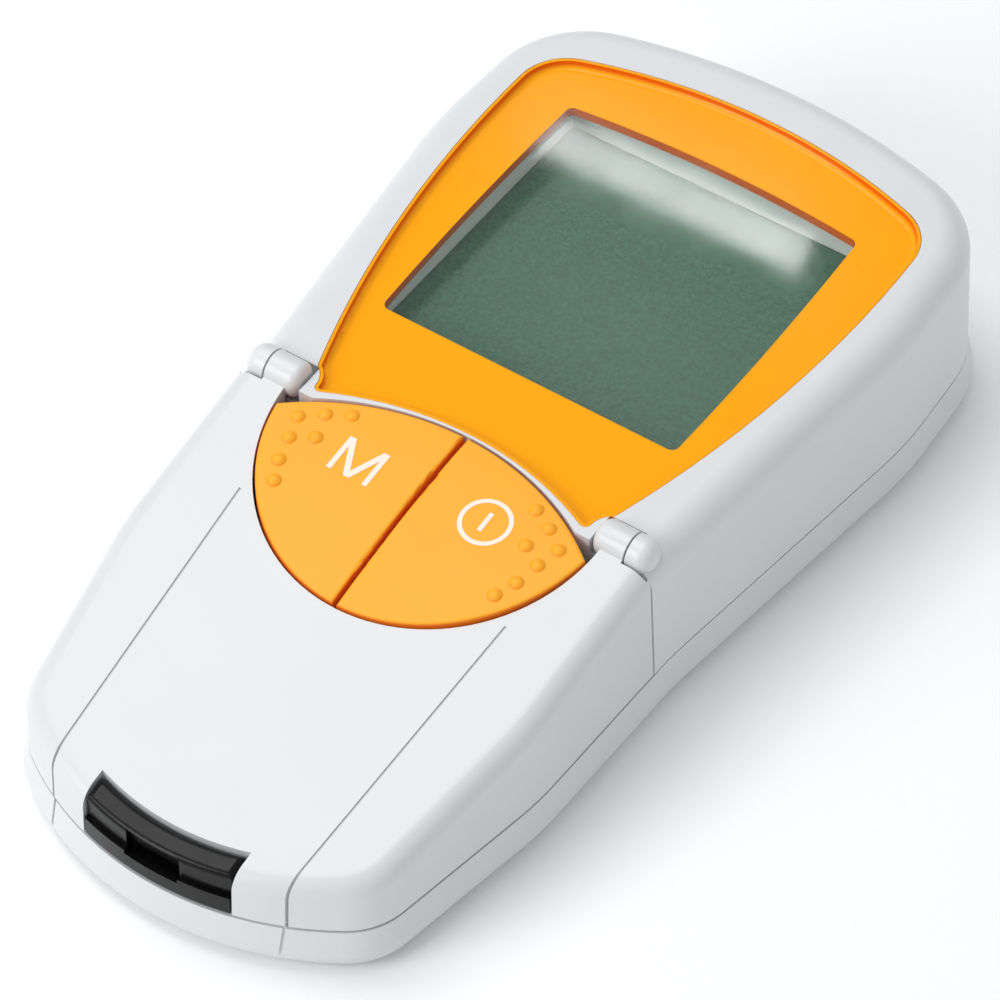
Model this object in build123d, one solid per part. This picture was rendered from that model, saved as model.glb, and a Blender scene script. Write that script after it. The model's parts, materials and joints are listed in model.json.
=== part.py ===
from build123d import *
import math
import os

# Handheld blood glucose meter, millimetres.
# +Z is up, +X is the right-hand side, +Y runs from the test strip end to the display end.
# The origin is the centre of the resting face.

# --- Body ---------------------------------------------------------------------------------
LENGTH = 154.0
WIDTH = 81.0
HEIGHT = 30.0
PARTING_Z = 7.6            # seam between the lower housing and everything above it
SEAM_GAP = 0.3             # between the two housings
FLAP_GAP = 0.35            # between the flap and what it closes against
WALL = 2.0                 # outer walls
FLOOR = 1.8                # bottom wall of the lower housing
SIDE_DRAFT = 3.0           # degrees, walls lean inwards going up
BELLY_DRAFT = 14.0         # degrees, the lower housing swells outwards below the seam
BOTTOM_ROUND = 3.4
DISPLAY_ROUND = 4.4        # upper outer edge of the display end
FLAP_ROUND = 3.0           # upper outer edge of the flap
LIP_HEIGHT, LIP_THICKNESS, LIP_FIT = 1.6, 1.0, 0.1
SEAM_LOW = PARTING_Z - SEAM_GAP / 2
SEAM_HIGH = PARTING_Z + SEAM_GAP / 2
FLAP_BOTTOM_Z = PARTING_Z + FLAP_GAP
# The lower housing stands this far outside the seam at its widest
ROUND_REACH = BOTTOM_ROUND / math.tan(math.radians(90 - BELLY_DRAFT) / 2) - BOTTOM_ROUND
BELLY = SEAM_LOW * math.tan(math.radians(BELLY_DRAFT)) - ROUND_REACH
TIP_Y = LENGTH / 2 - BELLY     # both ends of the seam
SIDE_X = WIDTH / 2 - BELLY     # widest place of the seam

# Outline of the seam, right half, as corners and the radius of each
FRONT_BOW_RADIUS = 0.556 * WIDTH
REAR_BOW_RADIUS = 1.22 * WIDTH
FRONT_CORNER_X, FRONT_CORNER_RADIUS = 0.354 * WIDTH, 0.123 * WIDTH
FLAP_SIDE_X, FLAP_SIDE_Y, FLAP_SIDE_RADIUS = 0.413 * WIDTH, -0.243 * LENGTH, 0.6 * WIDTH
WAIST_X, WAIST_Y, WAIST_RADIUS = 0.421 * WIDTH, -0.045 * LENGTH, 0.74 * WIDTH
SHOULDER_Y, SHOULDER_RADIUS = 0.279 * LENGTH, 0.4 * LENGTH
SHOULDER_SHAVE = 0.32      # what the shoulder radius takes off its corner
REAR_CORNER_X, REAR_CORNER_RADIUS = 0.474 * WIDTH, 0.11 * LENGTH

# Height of the upper face along Y
SPLIT_Y = -11.1            # joint between the display end and the flap
SPLIT_TOP_Z = HEIGHT - 2.3
REAR_TOP_Y = LENGTH / 2 - 6.0  # the display face reaches full height here
FLAP_SLOPE = 0.2026        # fall of the flap towards the strip end, mm per mm
FLAP_REAR_Y = SPLIT_Y - FLAP_GAP / 2
DISPLAY_FRONT_Y = SPLIT_Y + FLAP_GAP / 2
DISPLAY_SLOPE = (HEIGHT - SPLIT_TOP_Z) / (REAR_TOP_Y - SPLIT_Y)

# --- Hinge --------------------------------------------------------------------------------
HINGE_Y, HINGE_Z = -8.9, HEIGHT - 2.7
KNUCKLE_RADIUS = 2.6
BARREL_INNER_X = 0.2926 * WIDTH    # the flap's barrel runs from here out to the knuckle
BARREL_LENGTH, KNUCKLE_LENGTH = 5.2, 3.4
BARREL_SPLIT_X = BARREL_INNER_X + BARREL_LENGTH
KNUCKLE_END_X = BARREL_SPLIT_X + KNUCKLE_LENGTH
BARREL_ROUND, KNUCKLE_DOME = 1.3, 1.8
HINGE_PIN_RADIUS = 0.75
PIN_RUN_CLEARANCE = 0.06
PIN_INSET = 1.2            # the pin ends this far inside the barrel and the knuckle
KNUCKLE_GAP = 0.3          # along X between barrel and knuckle
BARREL_ROOM = 0.4          # round the turning barrel
NECK_LENGTH, NECK_DEPTH = 1.6, 1.55    # the neck that carries each barrel

# --- Buttons ------------------------------------------------------------------------------
KEYS_Y = -10.4             # centre of the round front edge of the pair of keys
KEYS_RADIUS = 0.3086 * WIDTH
KEYS_TOP_Y = -5.4          # highest point of the arc against the bezel
KEYS_TOP_RADIUS = 40.3
KEY_THICKNESS = 1.9
KEY_TRAVEL = 0.6
KEY_FREE_GAP = 0.35        # left below a key at the end of its travel
KEY_SPLIT = 0.6            # gap between the two keys
KEY_EDGE_ROUND = 0.45
KEY_POCKET_GAP = 0.35
KEY_POCKET_WALL = 1.25
CROWN_FRONT = (-35.4, HEIGHT - 6.85)   # profile of the key faces in Y and Z
CROWN_MIDDLE = (-17.7, HEIGHT - 3.15)
CROWN_REAR = (KEYS_TOP_Y, HEIGHT - 1.9)
CROWN_RUN = 12.0           # the profile runs on straight this far at both ends
TONGUE_WALL = 1.6
TONGUE_DECK = 1.5
TONGUE_INSET = 0.5         # the tongue's wall stands this far inside the keys' edge
PLUNGER_X, PLUNGER_Y, PLUNGER_RADIUS = 11.0, -20.0, 2.2
PLUNGER_CLEARANCE = 0.6
DOT_RADIUS = 1.05          # raised dots on the keys
DOT_HEIGHT = 0.5
# Places of the dots from the centre of the keys, in radii of the keys
DOTS = ((0.835, -0.157), (0.717, -0.071), (0.591, -0.004), (0.795, -0.291), (0.673, -0.220),
        (0.760, -0.433), (0.705, -0.551))

# --- Display ------------------------------------------------------------------------------
BEZEL_BOTTOM_Y = -4.7      # tip of the arc over the keys
BEZEL_FOOT_IN = 1.3041     # the lower corner lies this far inside the hinge barrel
BEZEL_FOOT = (BARREL_INNER_X - BEZEL_FOOT_IN, HINGE_Y - 1.4)
BEZEL_SIDE_MID = (0.363 * WIDTH, 0.102 * LENGTH)
BEZEL_SHOULDER = (0.3963 * WIDTH, LENGTH / 2 - 16.8)
BEZEL_TOP_Y = LENGTH / 2 - 10.5
BEZEL_CORNER_RADIUS = 8.0
BEZEL_FOOT_RADIUS = 0.9    # where that arc and the sides meet the curl round the hinge
BEZEL_DISH = 1.2           # the plate lies this far below its raised rim
BEZEL_RIM = 0.5            # flat top of the rim
BEZEL_FOOT_FILLET = 0.9    # hollow round between the rim and the plate
BEZEL_RIM_ROUND = 0.15
BEZEL_PLATE = 1.5
BEZEL_SEAT = 1.6           # width of the housing's ledge under the bezel
BEZEL_LEDGE = 1.4          # thickness of that ledge
BEZEL_FIT = 0.05
BARREL_RELIEF = 3.5        # radius of the bezel's curl round the hinge barrel
BARREL_RELIEF_GAP = 1.2
WINDOW_HALF_X = 0.2926 * WIDTH
WINDOW_Y0, WINDOW_Y1 = 8.6, LENGTH / 2 - 22.6
WINDOW_SIDE_BULGE = 0.5
WINDOW_TOP_BULGE = 1.4
WINDOW_CORNER_RADIUS = 1.2
LENS_FIT = 0.05
LENS_THICKNESS = 1.2
FRAME_INNER_X = WINDOW_HALF_X + 0.9    # white frame round the display glass
FRAME_INNER_Y0, FRAME_INNER_Y1 = WINDOW_Y0 - 0.9, WINDOW_Y1 + 2.0
FRAME_WALL = 1.0
FRAME_LEDGE = 1.2
LCD_TOP_Z = HEIGHT - 7.4
LCD_GLASS = 2.2            # the two bonded plates together
LCD_FIT = 0.1
CONNECTOR_WIDTH = 1.8
CONNECTOR_LENGTH = 2 * WINDOW_HALF_X - 4.4

# --- Board and what is on it ----------------------------------------------------------------
BOARD_Z = 16.0             # underside
BOARD_THICKNESS = 1.6
BOARD_INSET = 4.6          # from the outline of the seam
BOARD_BOSS_RADIUS = 2.3
THROAT_TOP_Z = 21.0        # the board passes into the tongue below this height
BOARD_GAP = 0.8            # between the board and the tongue's wall
BOARD_FRONT_GAP = 1.0      # between the board and the front wall of the display end
BOARD_BOSSES = ((0.3926 * WIDTH, 0.224 * LENGTH), (0.2914 * WIDTH, 0.5))
BOARD_SCREW_RADIUS, BOARD_SCREW_HEAD = 0.9, 1.9
BOARD_SCREW_LENGTH, BOARD_HEAD_HEIGHT = 6.0, 1.2
BOSS_CLEARANCE, BOARD_HOLE_CLEARANCE = 0.4, 0.1
MAT_THICKNESS = 1.0
MAT_GAP, MAT_REAR_Y = 1.6, -8.0
DOME_RADIUS, DOME_TOP_RADIUS, DOME_TOP_Z = 3.4, 2.4, 20.0
CHIP_SIZE, CHIP_HEIGHT, CHIP_Y = 12.0, 1.4, -1.0
MEMORY_SIZE_X, MEMORY_SIZE_Y, MEMORY_X = 6.0, 5.0, 14.0
CRYSTAL_X, CRYSTAL_Y, CRYSTAL_RADIUS, CRYSTAL_LENGTH = -16.0, -1.0, 1.5, 8.0
BUZZER_X, BUZZER_Y, BUZZER_RADIUS, BUZZER_HEIGHT = 13.0, -14.0, 4.6, 3.4

# --- SET key on the left side ---------------------------------------------------------------
SET_Y, SET_Z = 0.14 * LENGTH, 19.1
SET_LENGTH, SET_HEIGHT = 9.0, 4.2
SET_PROUD, SET_TRAVEL = 0.8, 0.5
SET_ROUND = 0.4
SET_GAP = 0.3
SET_FLANGE, SET_FLANGE_THICKNESS = 1.0, 0.6
SET_FLANGE_GAP = 1.1       # behind the slanting wall, measured at the key's middle
SET_STEM_RADIUS = 1.4
SET_SWITCH_IN = 6.5 * WIDTH / 81   # the switch on the board stands this far inside the outer wall
SET_SWITCH_SIZE = 3.6
SET_STUB, SET_STUB_RADIUS = 1.0, 1.2

# --- Infrared port in the rear wall ---------------------------------------------------------
IR_HALF_X, IR_HALF_Z, IR_Z = 6.5, 2.8, 19.0
IR_THICKNESS = 1.6
IR_RECESS = 0.3
IR_CUT_DEPTH = 5.0         # the opening is cut this deep from the rear
IR_MODULE_X, IR_MODULE_DEPTH = 3.5, 3.4
IR_MODULE_IN = 0.6         # from the rear edge of the board
IR_EYE_RADIUS = 1.1

# --- Screws ---------------------------------------------------------------------------------
BOSS_RADIUS = 2.9
HOUSING_BOSSES = ((0.3704 * WIDTH, LENGTH / 2 - 14.0), (0.375 * WIDTH, -5.5))
DECK_BOSSES = ((0.2654 * WIDTH, -0.3896 * LENGTH),)
DECK_COLLAR = 1.2          # the deck stands up this much round its screws
SCREW_RADIUS, SCREW_HEAD_RADIUS, SCREW_HEAD_HEIGHT = 1.1, 2.2, 1.5
SCREW_HEAD_ROUND = 0.5
CROSS_WIDTH, CROSS_DEPTH = 0.6, 0.7    # recess for the driver
SCREW_LENGTH, DECK_SCREW_LENGTH = 12.0, 5.6
SCREW_SINK = 1.3           # the heads lie this deep
SCREW_HOLE_CLEARANCE = 0.25

# --- Batteries: four AAA cells side by side --------------------------------------------------
CELL_RADIUS = 5.25
CELL_LENGTH = 43.3
CELL_ROUND = 0.4
CELL_TIP_RADIUS, CELL_TIP = 1.9, 1.2
CELL_PITCH = 11.0
CELL_COUNT = 4
CELL_Z = 7.4
BAY_WALL = 2.0
BAY_SIDE_ROOM = 0.4
BAY_TOP_ROOM = 0.1
BAY_CEILING = 1.2
BAY_LENGTH = 50.5
BAY_Y1 = LENGTH / 2 - 15.5
BAY_Y0 = BAY_Y1 - BAY_LENGTH
PLATE = 0.4                # contact sheet
PLATE_HALF_X, PLATE_HALF_Z = 4.2, 3.8
TAB_HALF_X = 1.5
TAB_CLEARANCE = 0.2
SPRING_RADIUS, SPRING_WIRE, SPRING_TURNS = 3.0, 0.35, 3
SPRING_CONE = -8           # degrees
DOOR_THICKNESS = 1.5
DOOR_ROUND = 1.0
DOOR_RAISE = 0.3           # the door's outer face lies this far above the resting face
DOOR_MARGIN = 0.8          # the door overlaps the bay by this much
DOOR_GAP = 0.35
LATCH_HALF_X, LATCH_LENGTH = 6.0, 7.0
LATCH_SLOT = 0.8
LATCH_RIDGE, LATCH_RIDGES = 0.8, 3
LATCH_RIDGE_IN, LATCH_RIDGE_DEPTH, LATCH_RIDGE_Y = 1.0, 0.4, 1.2
DOOR_LUG_HALF_X, DOOR_LUG_X, DOOR_LUG_HEIGHT = 3.0, 14.0, 3.0
DOOR_LUG_FIT = 0.05
FINGER_RADIUS, FINGER_Y, FINGER_Z = 4.6, 1.0, -3.4    # hollow in front of the door's latch
LABEL_HALF_X, LABEL_DEPTH = 17.0, 0.25
LABEL_Y0, LABEL_Y1 = -0.4026 * LENGTH, -0.169 * LENGTH

# --- Test strip end ------------------------------------------------------------------------
DECK_INSET = 2.7           # from the outline of the seam
DECK_THICKNESS = 1.6
DECK_LEDGE = 1.8           # width of the housing's ledge under the deck
DECK_TONGUE_GAP = 0.2
NOSE_HALF_X = 11.5         # visible black nose of the strip guide
NOSE_DEPTH = 4.2
NOSE_GAP = 0.3
NOSE_STEP_Z = 10.9         # the nose is set back above this height
NOSE_LOW_SETBACK, NOSE_SETBACK = 0.15, 0.8
NOSE_TOP_ROUND = 0.9
NOSE_TOP_DROP = 0.15       # the nose lies this far below the flap's face
SPOT_Y = -0.3247 * LENGTH  # where the strip is read
TRAY_HALF_X, TRAY_REAR_Y, TRAY_HEIGHT = 7.8, SPOT_Y + 10.0, 2.4
TRAY_LAP = 1.0             # the tray runs this far into the nose
STRIP_HALF_X = 3.4         # half the width of the strip channel
STRIP_FLOOR = 0.8
STRIP_STOP = 2.0           # wall at the end of the strip channel
SLOT_HEIGHT = 1.3
MOUTH_HALF_X, MOUTH_DEPTH, MOUTH_TOP_Z = 4.2, 1.9, 14.3
RAIL_WIDTH, RAIL_HEIGHT, RAIL_START = 1.3, 1.8, 1.8
CHAMBER_Y0, CHAMBER_Y1 = SPOT_Y - 10.2, SPOT_Y + 8.0  # the guide is open above the strip here
CHAMBER_WIDER = 1.0        # than the strip channel, on each side
HEATER_HALF_X, HEATER_HALF_Y, HEATER_THICKNESS = 6.5, 8.5, 0.8
HEATER_FIT = 0.05
EYE_RADIUS = 3.0
EYE_FIT, EYE_SEAT, EYE_SINK = 0.03, 0.4, 0.1
OPTICS_HALF_X, OPTICS_HALF_Y = 9.0, 10.0
OPTICS_MARGIN = 1.0
SENSOR_BOARD, SENSOR_LIFT = 1.0, 0.3
LED_RADIUS, LED_HEIGHT, LED_RING = 1.1, 2.0, 4.2
LED_CLEARANCE, LED_HEADROOM = 0.2, 0.8
DIODE_SIZE, DIODE_HEIGHT = 2.4, 1.0
RIBBON_WIDTH, RIBBON = 9.0, 0.3
RIBBON_BEND, RIBBON_END = 1.5, 5.0
RIBBON_START = 0.5
RIBBON_Y = KEYS_Y - KEYS_RADIUS + 4.2  # where the ribbon rises inside the tongue
PAD_HALF, PAD_THICKNESS, PAD_LIFT = 5.0, 2.0, 0.5
PAD_ROUND = 0.6
PAD_STEM_HALF = 3.6
FINGER_HALF = 1.2          # finger of the flap that meets the flap switch
SWITCH_X, SWITCH_Y, SWITCH_HALF_X, SWITCH_HALF_Y, SWITCH_HEIGHT = 21.0, SPOT_Y, 2.0, 3.0, 2.6
SWITCH_STUB = 0.8
FLAP_REAR_WALL = 1.4       # closes the flap's arms at the hinge end
GROOVE_WIDTH, GROOVE_DEPTH = 0.4, 0.3
GROOVE_FRONT_X, GROOVE_REAR_X, GROOVE_REAR_Y = 18.3, 21.2, -27.0
COLLAR_THICKNESS, COLLAR_HEIGHT = 1.2, 3.5

OVER = 1.0                 # cutting blocks reach this far past what they cut
FAR = 200.0                # reach of cutting blocks beyond the body


# --- Small helpers --------------------------------------------------------------------------
def block(x0, x1, y0, y1, z0, z1):
    """A box between two corners."""
    middle = Pos((x0 + x1) / 2, (y0 + y1) / 2, (z0 + z1) / 2)
    return middle * Box(x1 - x0, y1 - y0, z1 - z0)


def post(x, y, z0, z1, radius):
    """An upright cylinder."""
    return Pos(x, y, (z0 + z1) / 2) * Cylinder(radius, z1 - z0)


def rod(x0, x1, y, z, radius):
    """A cylinder along X."""
    return Pos((x0 + x1) / 2, y, z) * Rot(0, 90, 0) * Cylinder(radius, x1 - x0)


def both_sides(solid):
    """A solid and its mirror image across the middle plane."""
    return [solid, mirror(solid, about=Plane.YZ)]


def display_z(y):
    """Height of the display face."""
    return SPLIT_TOP_Z + DISPLAY_SLOPE * (y - SPLIT_Y)


def flap_z(y):
    """Height of the flap's upper face."""
    return SPLIT_TOP_Z + FLAP_SLOPE * (y - SPLIT_Y)


def bow_y(x, tip_y, radius):
    """Y of a shallow end arc whose tip is on the middle plane at tip_y."""
    side = math.copysign(1.0, tip_y)
    return tip_y - side * radius + side * math.sqrt(radius ** 2 - x ** 2)


def rounded(face, corners, radius):
    """A face with the named corners rounded, each given as (x, y) on the right half."""
    face = face.face()
    for x, y in corners:
        near = [v for v in face.vertices() if math.hypot(abs(v.X) - x, v.Y - y) < 0.01]
        face = face.fillet_2d(radius, near)
    return face


def disc_through(first, middle, last, inset):
    """A disc whose rim runs through three points, made smaller by an inset."""
    arc = Edge.make_three_point_arc(first, middle, last)
    return Pos(arc.arc_center.X, arc.arc_center.Y) * Circle(arc.radius - inset)


def side_profile(points, half_width):
    """A prism across X from a closed outline of (y, z) points."""
    outline = Polyline(*[(0, y, z) for y, z in points], close=True)
    return extrude(make_face(outline), half_width, dir=(1, 0, 0), both=True)


def half_space(z_at, low, high, depth=FAR):
    """Everything below a sloped upper face, between two places along Y."""
    corners = [(low, -depth), (high, -depth), (high, z_at(high)), (low, z_at(low))]
    return side_profile(corners, FAR)


# --- Outlines -------------------------------------------------------------------------------
def plan_face():
    """Outline of the whole meter at the seam."""
    tip = TIP_Y
    front_corner = (FRONT_CORNER_X, bow_y(FRONT_CORNER_X, -tip, FRONT_BOW_RADIUS))
    flap_side = (FLAP_SIDE_X, FLAP_SIDE_Y)
    waist = (WAIST_X, WAIST_Y)
    shoulder = (SIDE_X + SHOULDER_SHAVE, SHOULDER_Y)
    rear_corner = (REAR_CORNER_X, bow_y(REAR_CORNER_X, tip, REAR_BOW_RADIUS))
    right = [front_corner, flap_side, waist, shoulder, rear_corner]
    left = [(-x, y) for x, y in reversed(right)]
    outline = Polyline(*right) + ThreePointArc(right[-1], (0, tip), left[0])
    outline += Polyline(*left) + ThreePointArc(left[-1], (0, -tip), right[0])
    face = make_face(outline)
    face = rounded(face, [front_corner], FRONT_CORNER_RADIUS)
    face = rounded(face, [flap_side], FLAP_SIDE_RADIUS)
    face = rounded(face, [waist], WAIST_RADIUS)
    face = rounded(face, [shoulder], SHOULDER_RADIUS)
    return rounded(face, [rear_corner], REAR_CORNER_RADIUS)


PLAN = plan_face()


def plan(inset):
    """The plan outline moved inwards."""
    return offset(PLAN, -inset) if inset else PLAN


def prism(face, z0, z1, taper=0.0):
    """A face raised between two heights."""
    return extrude(Pos(0, 0, z0) * face, z1 - z0, taper=taper)


def on_display(face, low, high):
    """A face raised square to the display face, between two heights measured from it."""
    tilt = Rot(math.degrees(math.atan(DISPLAY_SLOPE)), 0, 0)
    return Pos(0, SPLIT_Y, SPLIT_TOP_Z) * tilt * Pos(0, -SPLIT_Y, 0) * prism(face, low, high)


def keys_face(inset=0.0):
    """Outline of the pair of keys: a round front under a shallow rear arc."""
    front = Pos(0, KEYS_Y) * Circle(KEYS_RADIUS - inset)
    rear = Pos(0, KEYS_TOP_Y - KEYS_TOP_RADIUS) * Circle(KEYS_TOP_RADIUS - inset)
    return front & rear


def bezel_face(inset=0.0):
    """Outline of the orange display bezel."""
    foot_x, foot_y = BEZEL_FOOT
    mid_x, mid_y = BEZEL_SIDE_MID
    shoulder_x, shoulder_y = BEZEL_SHOULDER
    low_y = HINGE_Y - 2 * BARREL_RELIEF
    face = Pos(0, low_y + FAR / 2) * Rectangle(FAR, FAR)
    top_ends = (-shoulder_x, shoulder_y), (shoulder_x, shoulder_y)
    face &= disc_through(top_ends[0], (0, BEZEL_TOP_Y), top_ends[1], inset)
    for side in (-1, 1):
        foot, mid = (side * foot_x, foot_y), (side * mid_x, mid_y)
        face &= disc_through(foot, mid, (side * shoulder_x, shoulder_y), inset)
    face -= disc_through((-foot_x, foot_y), (0, BEZEL_BOTTOM_Y), (foot_x, foot_y), -inset)
    relief_x = BARREL_INNER_X - BARREL_ROOM - BARREL_RELIEF_GAP + BARREL_RELIEF
    for side in (-relief_x, relief_x):
        face -= Pos(side, HINGE_Y) * Circle(BARREL_RELIEF + inset)
    face = face.faces().sort_by(Axis.Y)[-1]
    corners = [v for v in face.vertices() if v.Y > SHOULDER_Y]
    face = face.fillet_2d(BEZEL_CORNER_RADIUS - inset, corners)
    if inset < BEZEL_FOOT_RADIUS:
        cusps = [v for v in face.vertices() if v.Y < HINGE_Y + 2 * BARREL_RELIEF]
        face = face.fillet_2d(BEZEL_FOOT_RADIUS - inset, cusps)
    return face


def seat_face():
    """The bezel's outline made larger by about the thickness of the ledge under it."""
    middle_y = (BEZEL_TOP_Y + BEZEL_FOOT[1]) / 2
    grown = scale(Pos(0, -middle_y) * bezel_face(), by=1 + BEZEL_LEDGE / BEZEL_SHOULDER[0])
    return Pos(0, middle_y) * grown


def window_face(inset=0.0):
    """Outline of the display window, with slightly bowed sides and top."""
    side_y = (WINDOW_Y0 + WINDOW_Y1) / 2
    left, right = (-WINDOW_HALF_X, WINDOW_Y1), (WINDOW_HALF_X, WINDOW_Y1)
    bulge_x = WINDOW_HALF_X + WINDOW_SIDE_BULGE
    face = Pos(0, WINDOW_Y0 + inset + FAR / 2) * Rectangle(FAR, FAR)
    face &= disc_through(left, (0, WINDOW_Y1 + WINDOW_TOP_BULGE), right, inset)
    for side in (-1, 1):
        low, high = (side * WINDOW_HALF_X, WINDOW_Y0), (side * WINDOW_HALF_X, WINDOW_Y1)
        face &= disc_through(low, (side * bulge_x, side_y), high, inset)
    face = face.face()
    return face.fillet_2d(WINDOW_CORNER_RADIUS - inset, face.vertices())


# --- Outer forms ----------------------------------------------------------------------------
def top_edges(solid, z_at, skip_y):
    """Edges round the upper face, except the one along the flat end."""
    edges = []
    for edge in solid.edges():
        middle = edge.position_at(0.5)
        on_top = abs(middle.Z - z_at(middle.Y)) < 0.02
        ends_on_top = all(abs(v.Z - z_at(v.Y)) < 0.02 for v in edge.vertices())
        if on_top and ends_on_top and abs(middle.Y - skip_y) > 0.02:
            edges.append(edge)
    return edges


def display_form(inset=0.0):
    """The display end, moved inwards all round."""
    front_y = DISPLAY_FRONT_Y + inset
    body = prism(plan(inset), SEAM_HIGH, HEIGHT + OVER, SIDE_DRAFT)
    body &= half_space(lambda y: display_z(y) - inset, front_y, FAR)
    edges = top_edges(body, lambda y: display_z(y) - inset, front_y)
    return fillet(edges, DISPLAY_ROUND - inset)


def flap_form(inset=0.0, floor_z=FLAP_BOTTOM_Z):
    """The flap's outer form, moved inwards except at its rear end."""
    body = prism(plan(inset), floor_z, HEIGHT + OVER, SIDE_DRAFT)
    body &= half_space(lambda y: flap_z(y) - inset, -FAR, FLAP_REAR_Y)
    edges = top_edges(body, lambda y: flap_z(y) - inset, FLAP_REAR_Y)
    return fillet(edges, FLAP_ROUND - inset)


def crown_profile(drop):
    """The curve of the key faces, lowered by a distance."""
    return [(0, y, z - drop) for y, z in (CROWN_FRONT, CROWN_MIDDLE, CROWN_REAR)]


def below_crown(drop, depth=FAR):
    """Everything below the lowered key surface, across the whole width."""
    front, middle, rear = crown_profile(drop)
    front_y, rear_y = front[1] - CROWN_RUN, rear[1] + CROWN_RUN
    front_far = (0, front_y, front[2] - CROWN_RUN * FLAP_SLOPE)
    rear_far = (0, rear_y, rear[2] + CROWN_RUN * DISPLAY_SLOPE)
    outline = Polyline(front_far, front) + ThreePointArc(front, middle, rear)
    outline += Polyline(rear, rear_far, (0, rear_y, -depth), (0, front_y, -depth), front_far)
    return extrude(make_face(outline), FAR, dir=(1, 0, 0), both=True)


# --- Values worked out from the driving dimensions -------------------------------------------
KEY_DROP = KEY_THICKNESS + KEY_TRAVEL + KEY_FREE_GAP
BEZEL_DEPTH = BEZEL_DISH + BEZEL_PLATE
BOARD_TOP = BOARD_Z + BOARD_THICKNESS
DECK_Z = SEAM_LOW
DECK_TOP = DECK_Z + DECK_THICKNESS
TRAY_Z = DECK_TOP + FLAP_GAP
TRAY_TOP = TRAY_Z + TRAY_HEIGHT
BAY_HALF_X = CELL_COUNT * CELL_PITCH / 2 + BAY_SIDE_ROOM
BAY_TOP = CELL_Z + CELL_RADIUS + BAY_TOP_ROOM
DOOR_HALF_X = BAY_HALF_X + DOOR_MARGIN
DOOR_Y0, DOOR_Y1 = BAY_Y0 - DOOR_MARGIN, BAY_Y1 + DOOR_MARGIN
DOOR_TOP = DOOR_RAISE + DOOR_THICKNESS
CELL_X = [(i - (CELL_COUNT - 1) / 2) * CELL_PITCH for i in range(CELL_COUNT)]
SENSOR_TOP = FLOOR + SENSOR_LIFT + SENSOR_BOARD
BOSS_TOP_DROP = BEZEL_DEPTH + BEZEL_LEDGE / 2  # bosses end in the ledge under the bezel


# --- Lower housing ---------------------------------------------------------------------------
def lower_housing():
    """Bottom shell with the battery bay, the screw bosses and the ledge for the deck."""
    upside_down = prism(PLAN, -SEAM_LOW, 0, -BELLY_DRAFT)
    body = mirror(upside_down, about=Plane.XY)
    bottom = [e for e in body.edges() if abs(e.position_at(0.5).Z) < 0.01]
    body = fillet(bottom, BOTTOM_ROUND)
    body -= prism(plan(WALL), FLOOR, SEAM_LOW + OVER)
    # Lip that stands inside the upper housing
    lip_face = plan(WALL + LIP_FIT) - plan(WALL + LIP_FIT + LIP_THICKNESS)
    lip = prism(lip_face, FLOOR, SEAM_LOW + LIP_HEIGHT)
    lip &= block(-FAR, FAR, DISPLAY_FRONT_Y + WALL + LIP_FIT, FAR, 0, FAR)
    for x, y in HOUSING_BOSSES:
        for side in (-x, x):
            lip -= post(side, y, SEAM_LOW, FAR, BOSS_RADIUS + LIP_FIT)
    body += lip
    # Ledge that carries the deck
    ledge = prism(plan(WALL) - plan(DECK_INSET + DECK_LEDGE), FLOOR, SEAM_LOW)
    body += ledge & block(-FAR, FAR, -FAR, FLAP_REAR_Y, 0, FAR)
    # Battery bay
    outer_x = BAY_HALF_X + BAY_WALL
    front_y, rear_y = BAY_Y0 - BAY_WALL, BAY_Y1 + BAY_WALL
    body += block(-outer_x, outer_x, front_y, rear_y, FLOOR / 2, BAY_TOP + BAY_CEILING)
    body -= block(-BAY_HALF_X, BAY_HALF_X, BAY_Y0, BAY_Y1, -OVER, BAY_TOP)
    body -= block(-DOOR_HALF_X, DOOR_HALF_X, DOOR_Y0, DOOR_Y1, -OVER, DOOR_TOP + DOOR_GAP)
    for x in (-DOOR_LUG_X, DOOR_LUG_X):
        half = DOOR_LUG_HALF_X + DOOR_GAP
        top = DOOR_TOP + DOOR_LUG_HEIGHT + DOOR_GAP
        body -= block(x - half, x + half, BAY_Y1 - OVER, DOOR_Y1, -OVER, top)
    for x in (CELL_X[0], CELL_X[-1]):
        slot_x = TAB_HALF_X + TAB_CLEARANCE
        body -= block(x - slot_x, x + slot_x, BAY_Y0, BAY_Y0 + 2 * PLATE, BAY_TOP - OVER, FAR)
    # Screw bosses, open from below
    for x, y in HOUSING_BOSSES + DECK_BOSSES:
        for side in (-x, x):
            body += post(side, y, FLOOR / 2, SEAM_LOW, BOSS_RADIUS)
            body -= post(side, y, -OVER, SCREW_SINK + SCREW_HEAD_HEIGHT,
                         SCREW_HEAD_RADIUS + SCREW_HOLE_CLEARANCE)
            body -= post(side, y, -OVER, FAR, SCREW_RADIUS + SCREW_HOLE_CLEARANCE)
    # Finger recess in front of the door's latch, and the bare place for a rating plate
    body -= rod(-LATCH_HALF_X, LATCH_HALF_X, DOOR_Y0 - FINGER_Y, FINGER_Z, FINGER_RADIUS)
    body -= block(-LABEL_HALF_X, LABEL_HALF_X, LABEL_Y0, LABEL_Y1, -OVER, LABEL_DEPTH)
    return body - front_lines()


def front_lines():
    """The two fine lines down the front wall."""
    skin = mirror(prism(plan(GROOVE_DEPTH), -SEAM_LOW, 0, -BELLY_DRAFT), about=Plane.XY)
    half = GROOVE_WIDTH / 2
    line = block(GROOVE_FRONT_X - half, GROOVE_FRONT_X + half, -FAR, -LENGTH / 4, -OVER, SEAM_LOW)
    right, left = both_sides(line)
    return right + left - skin


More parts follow.
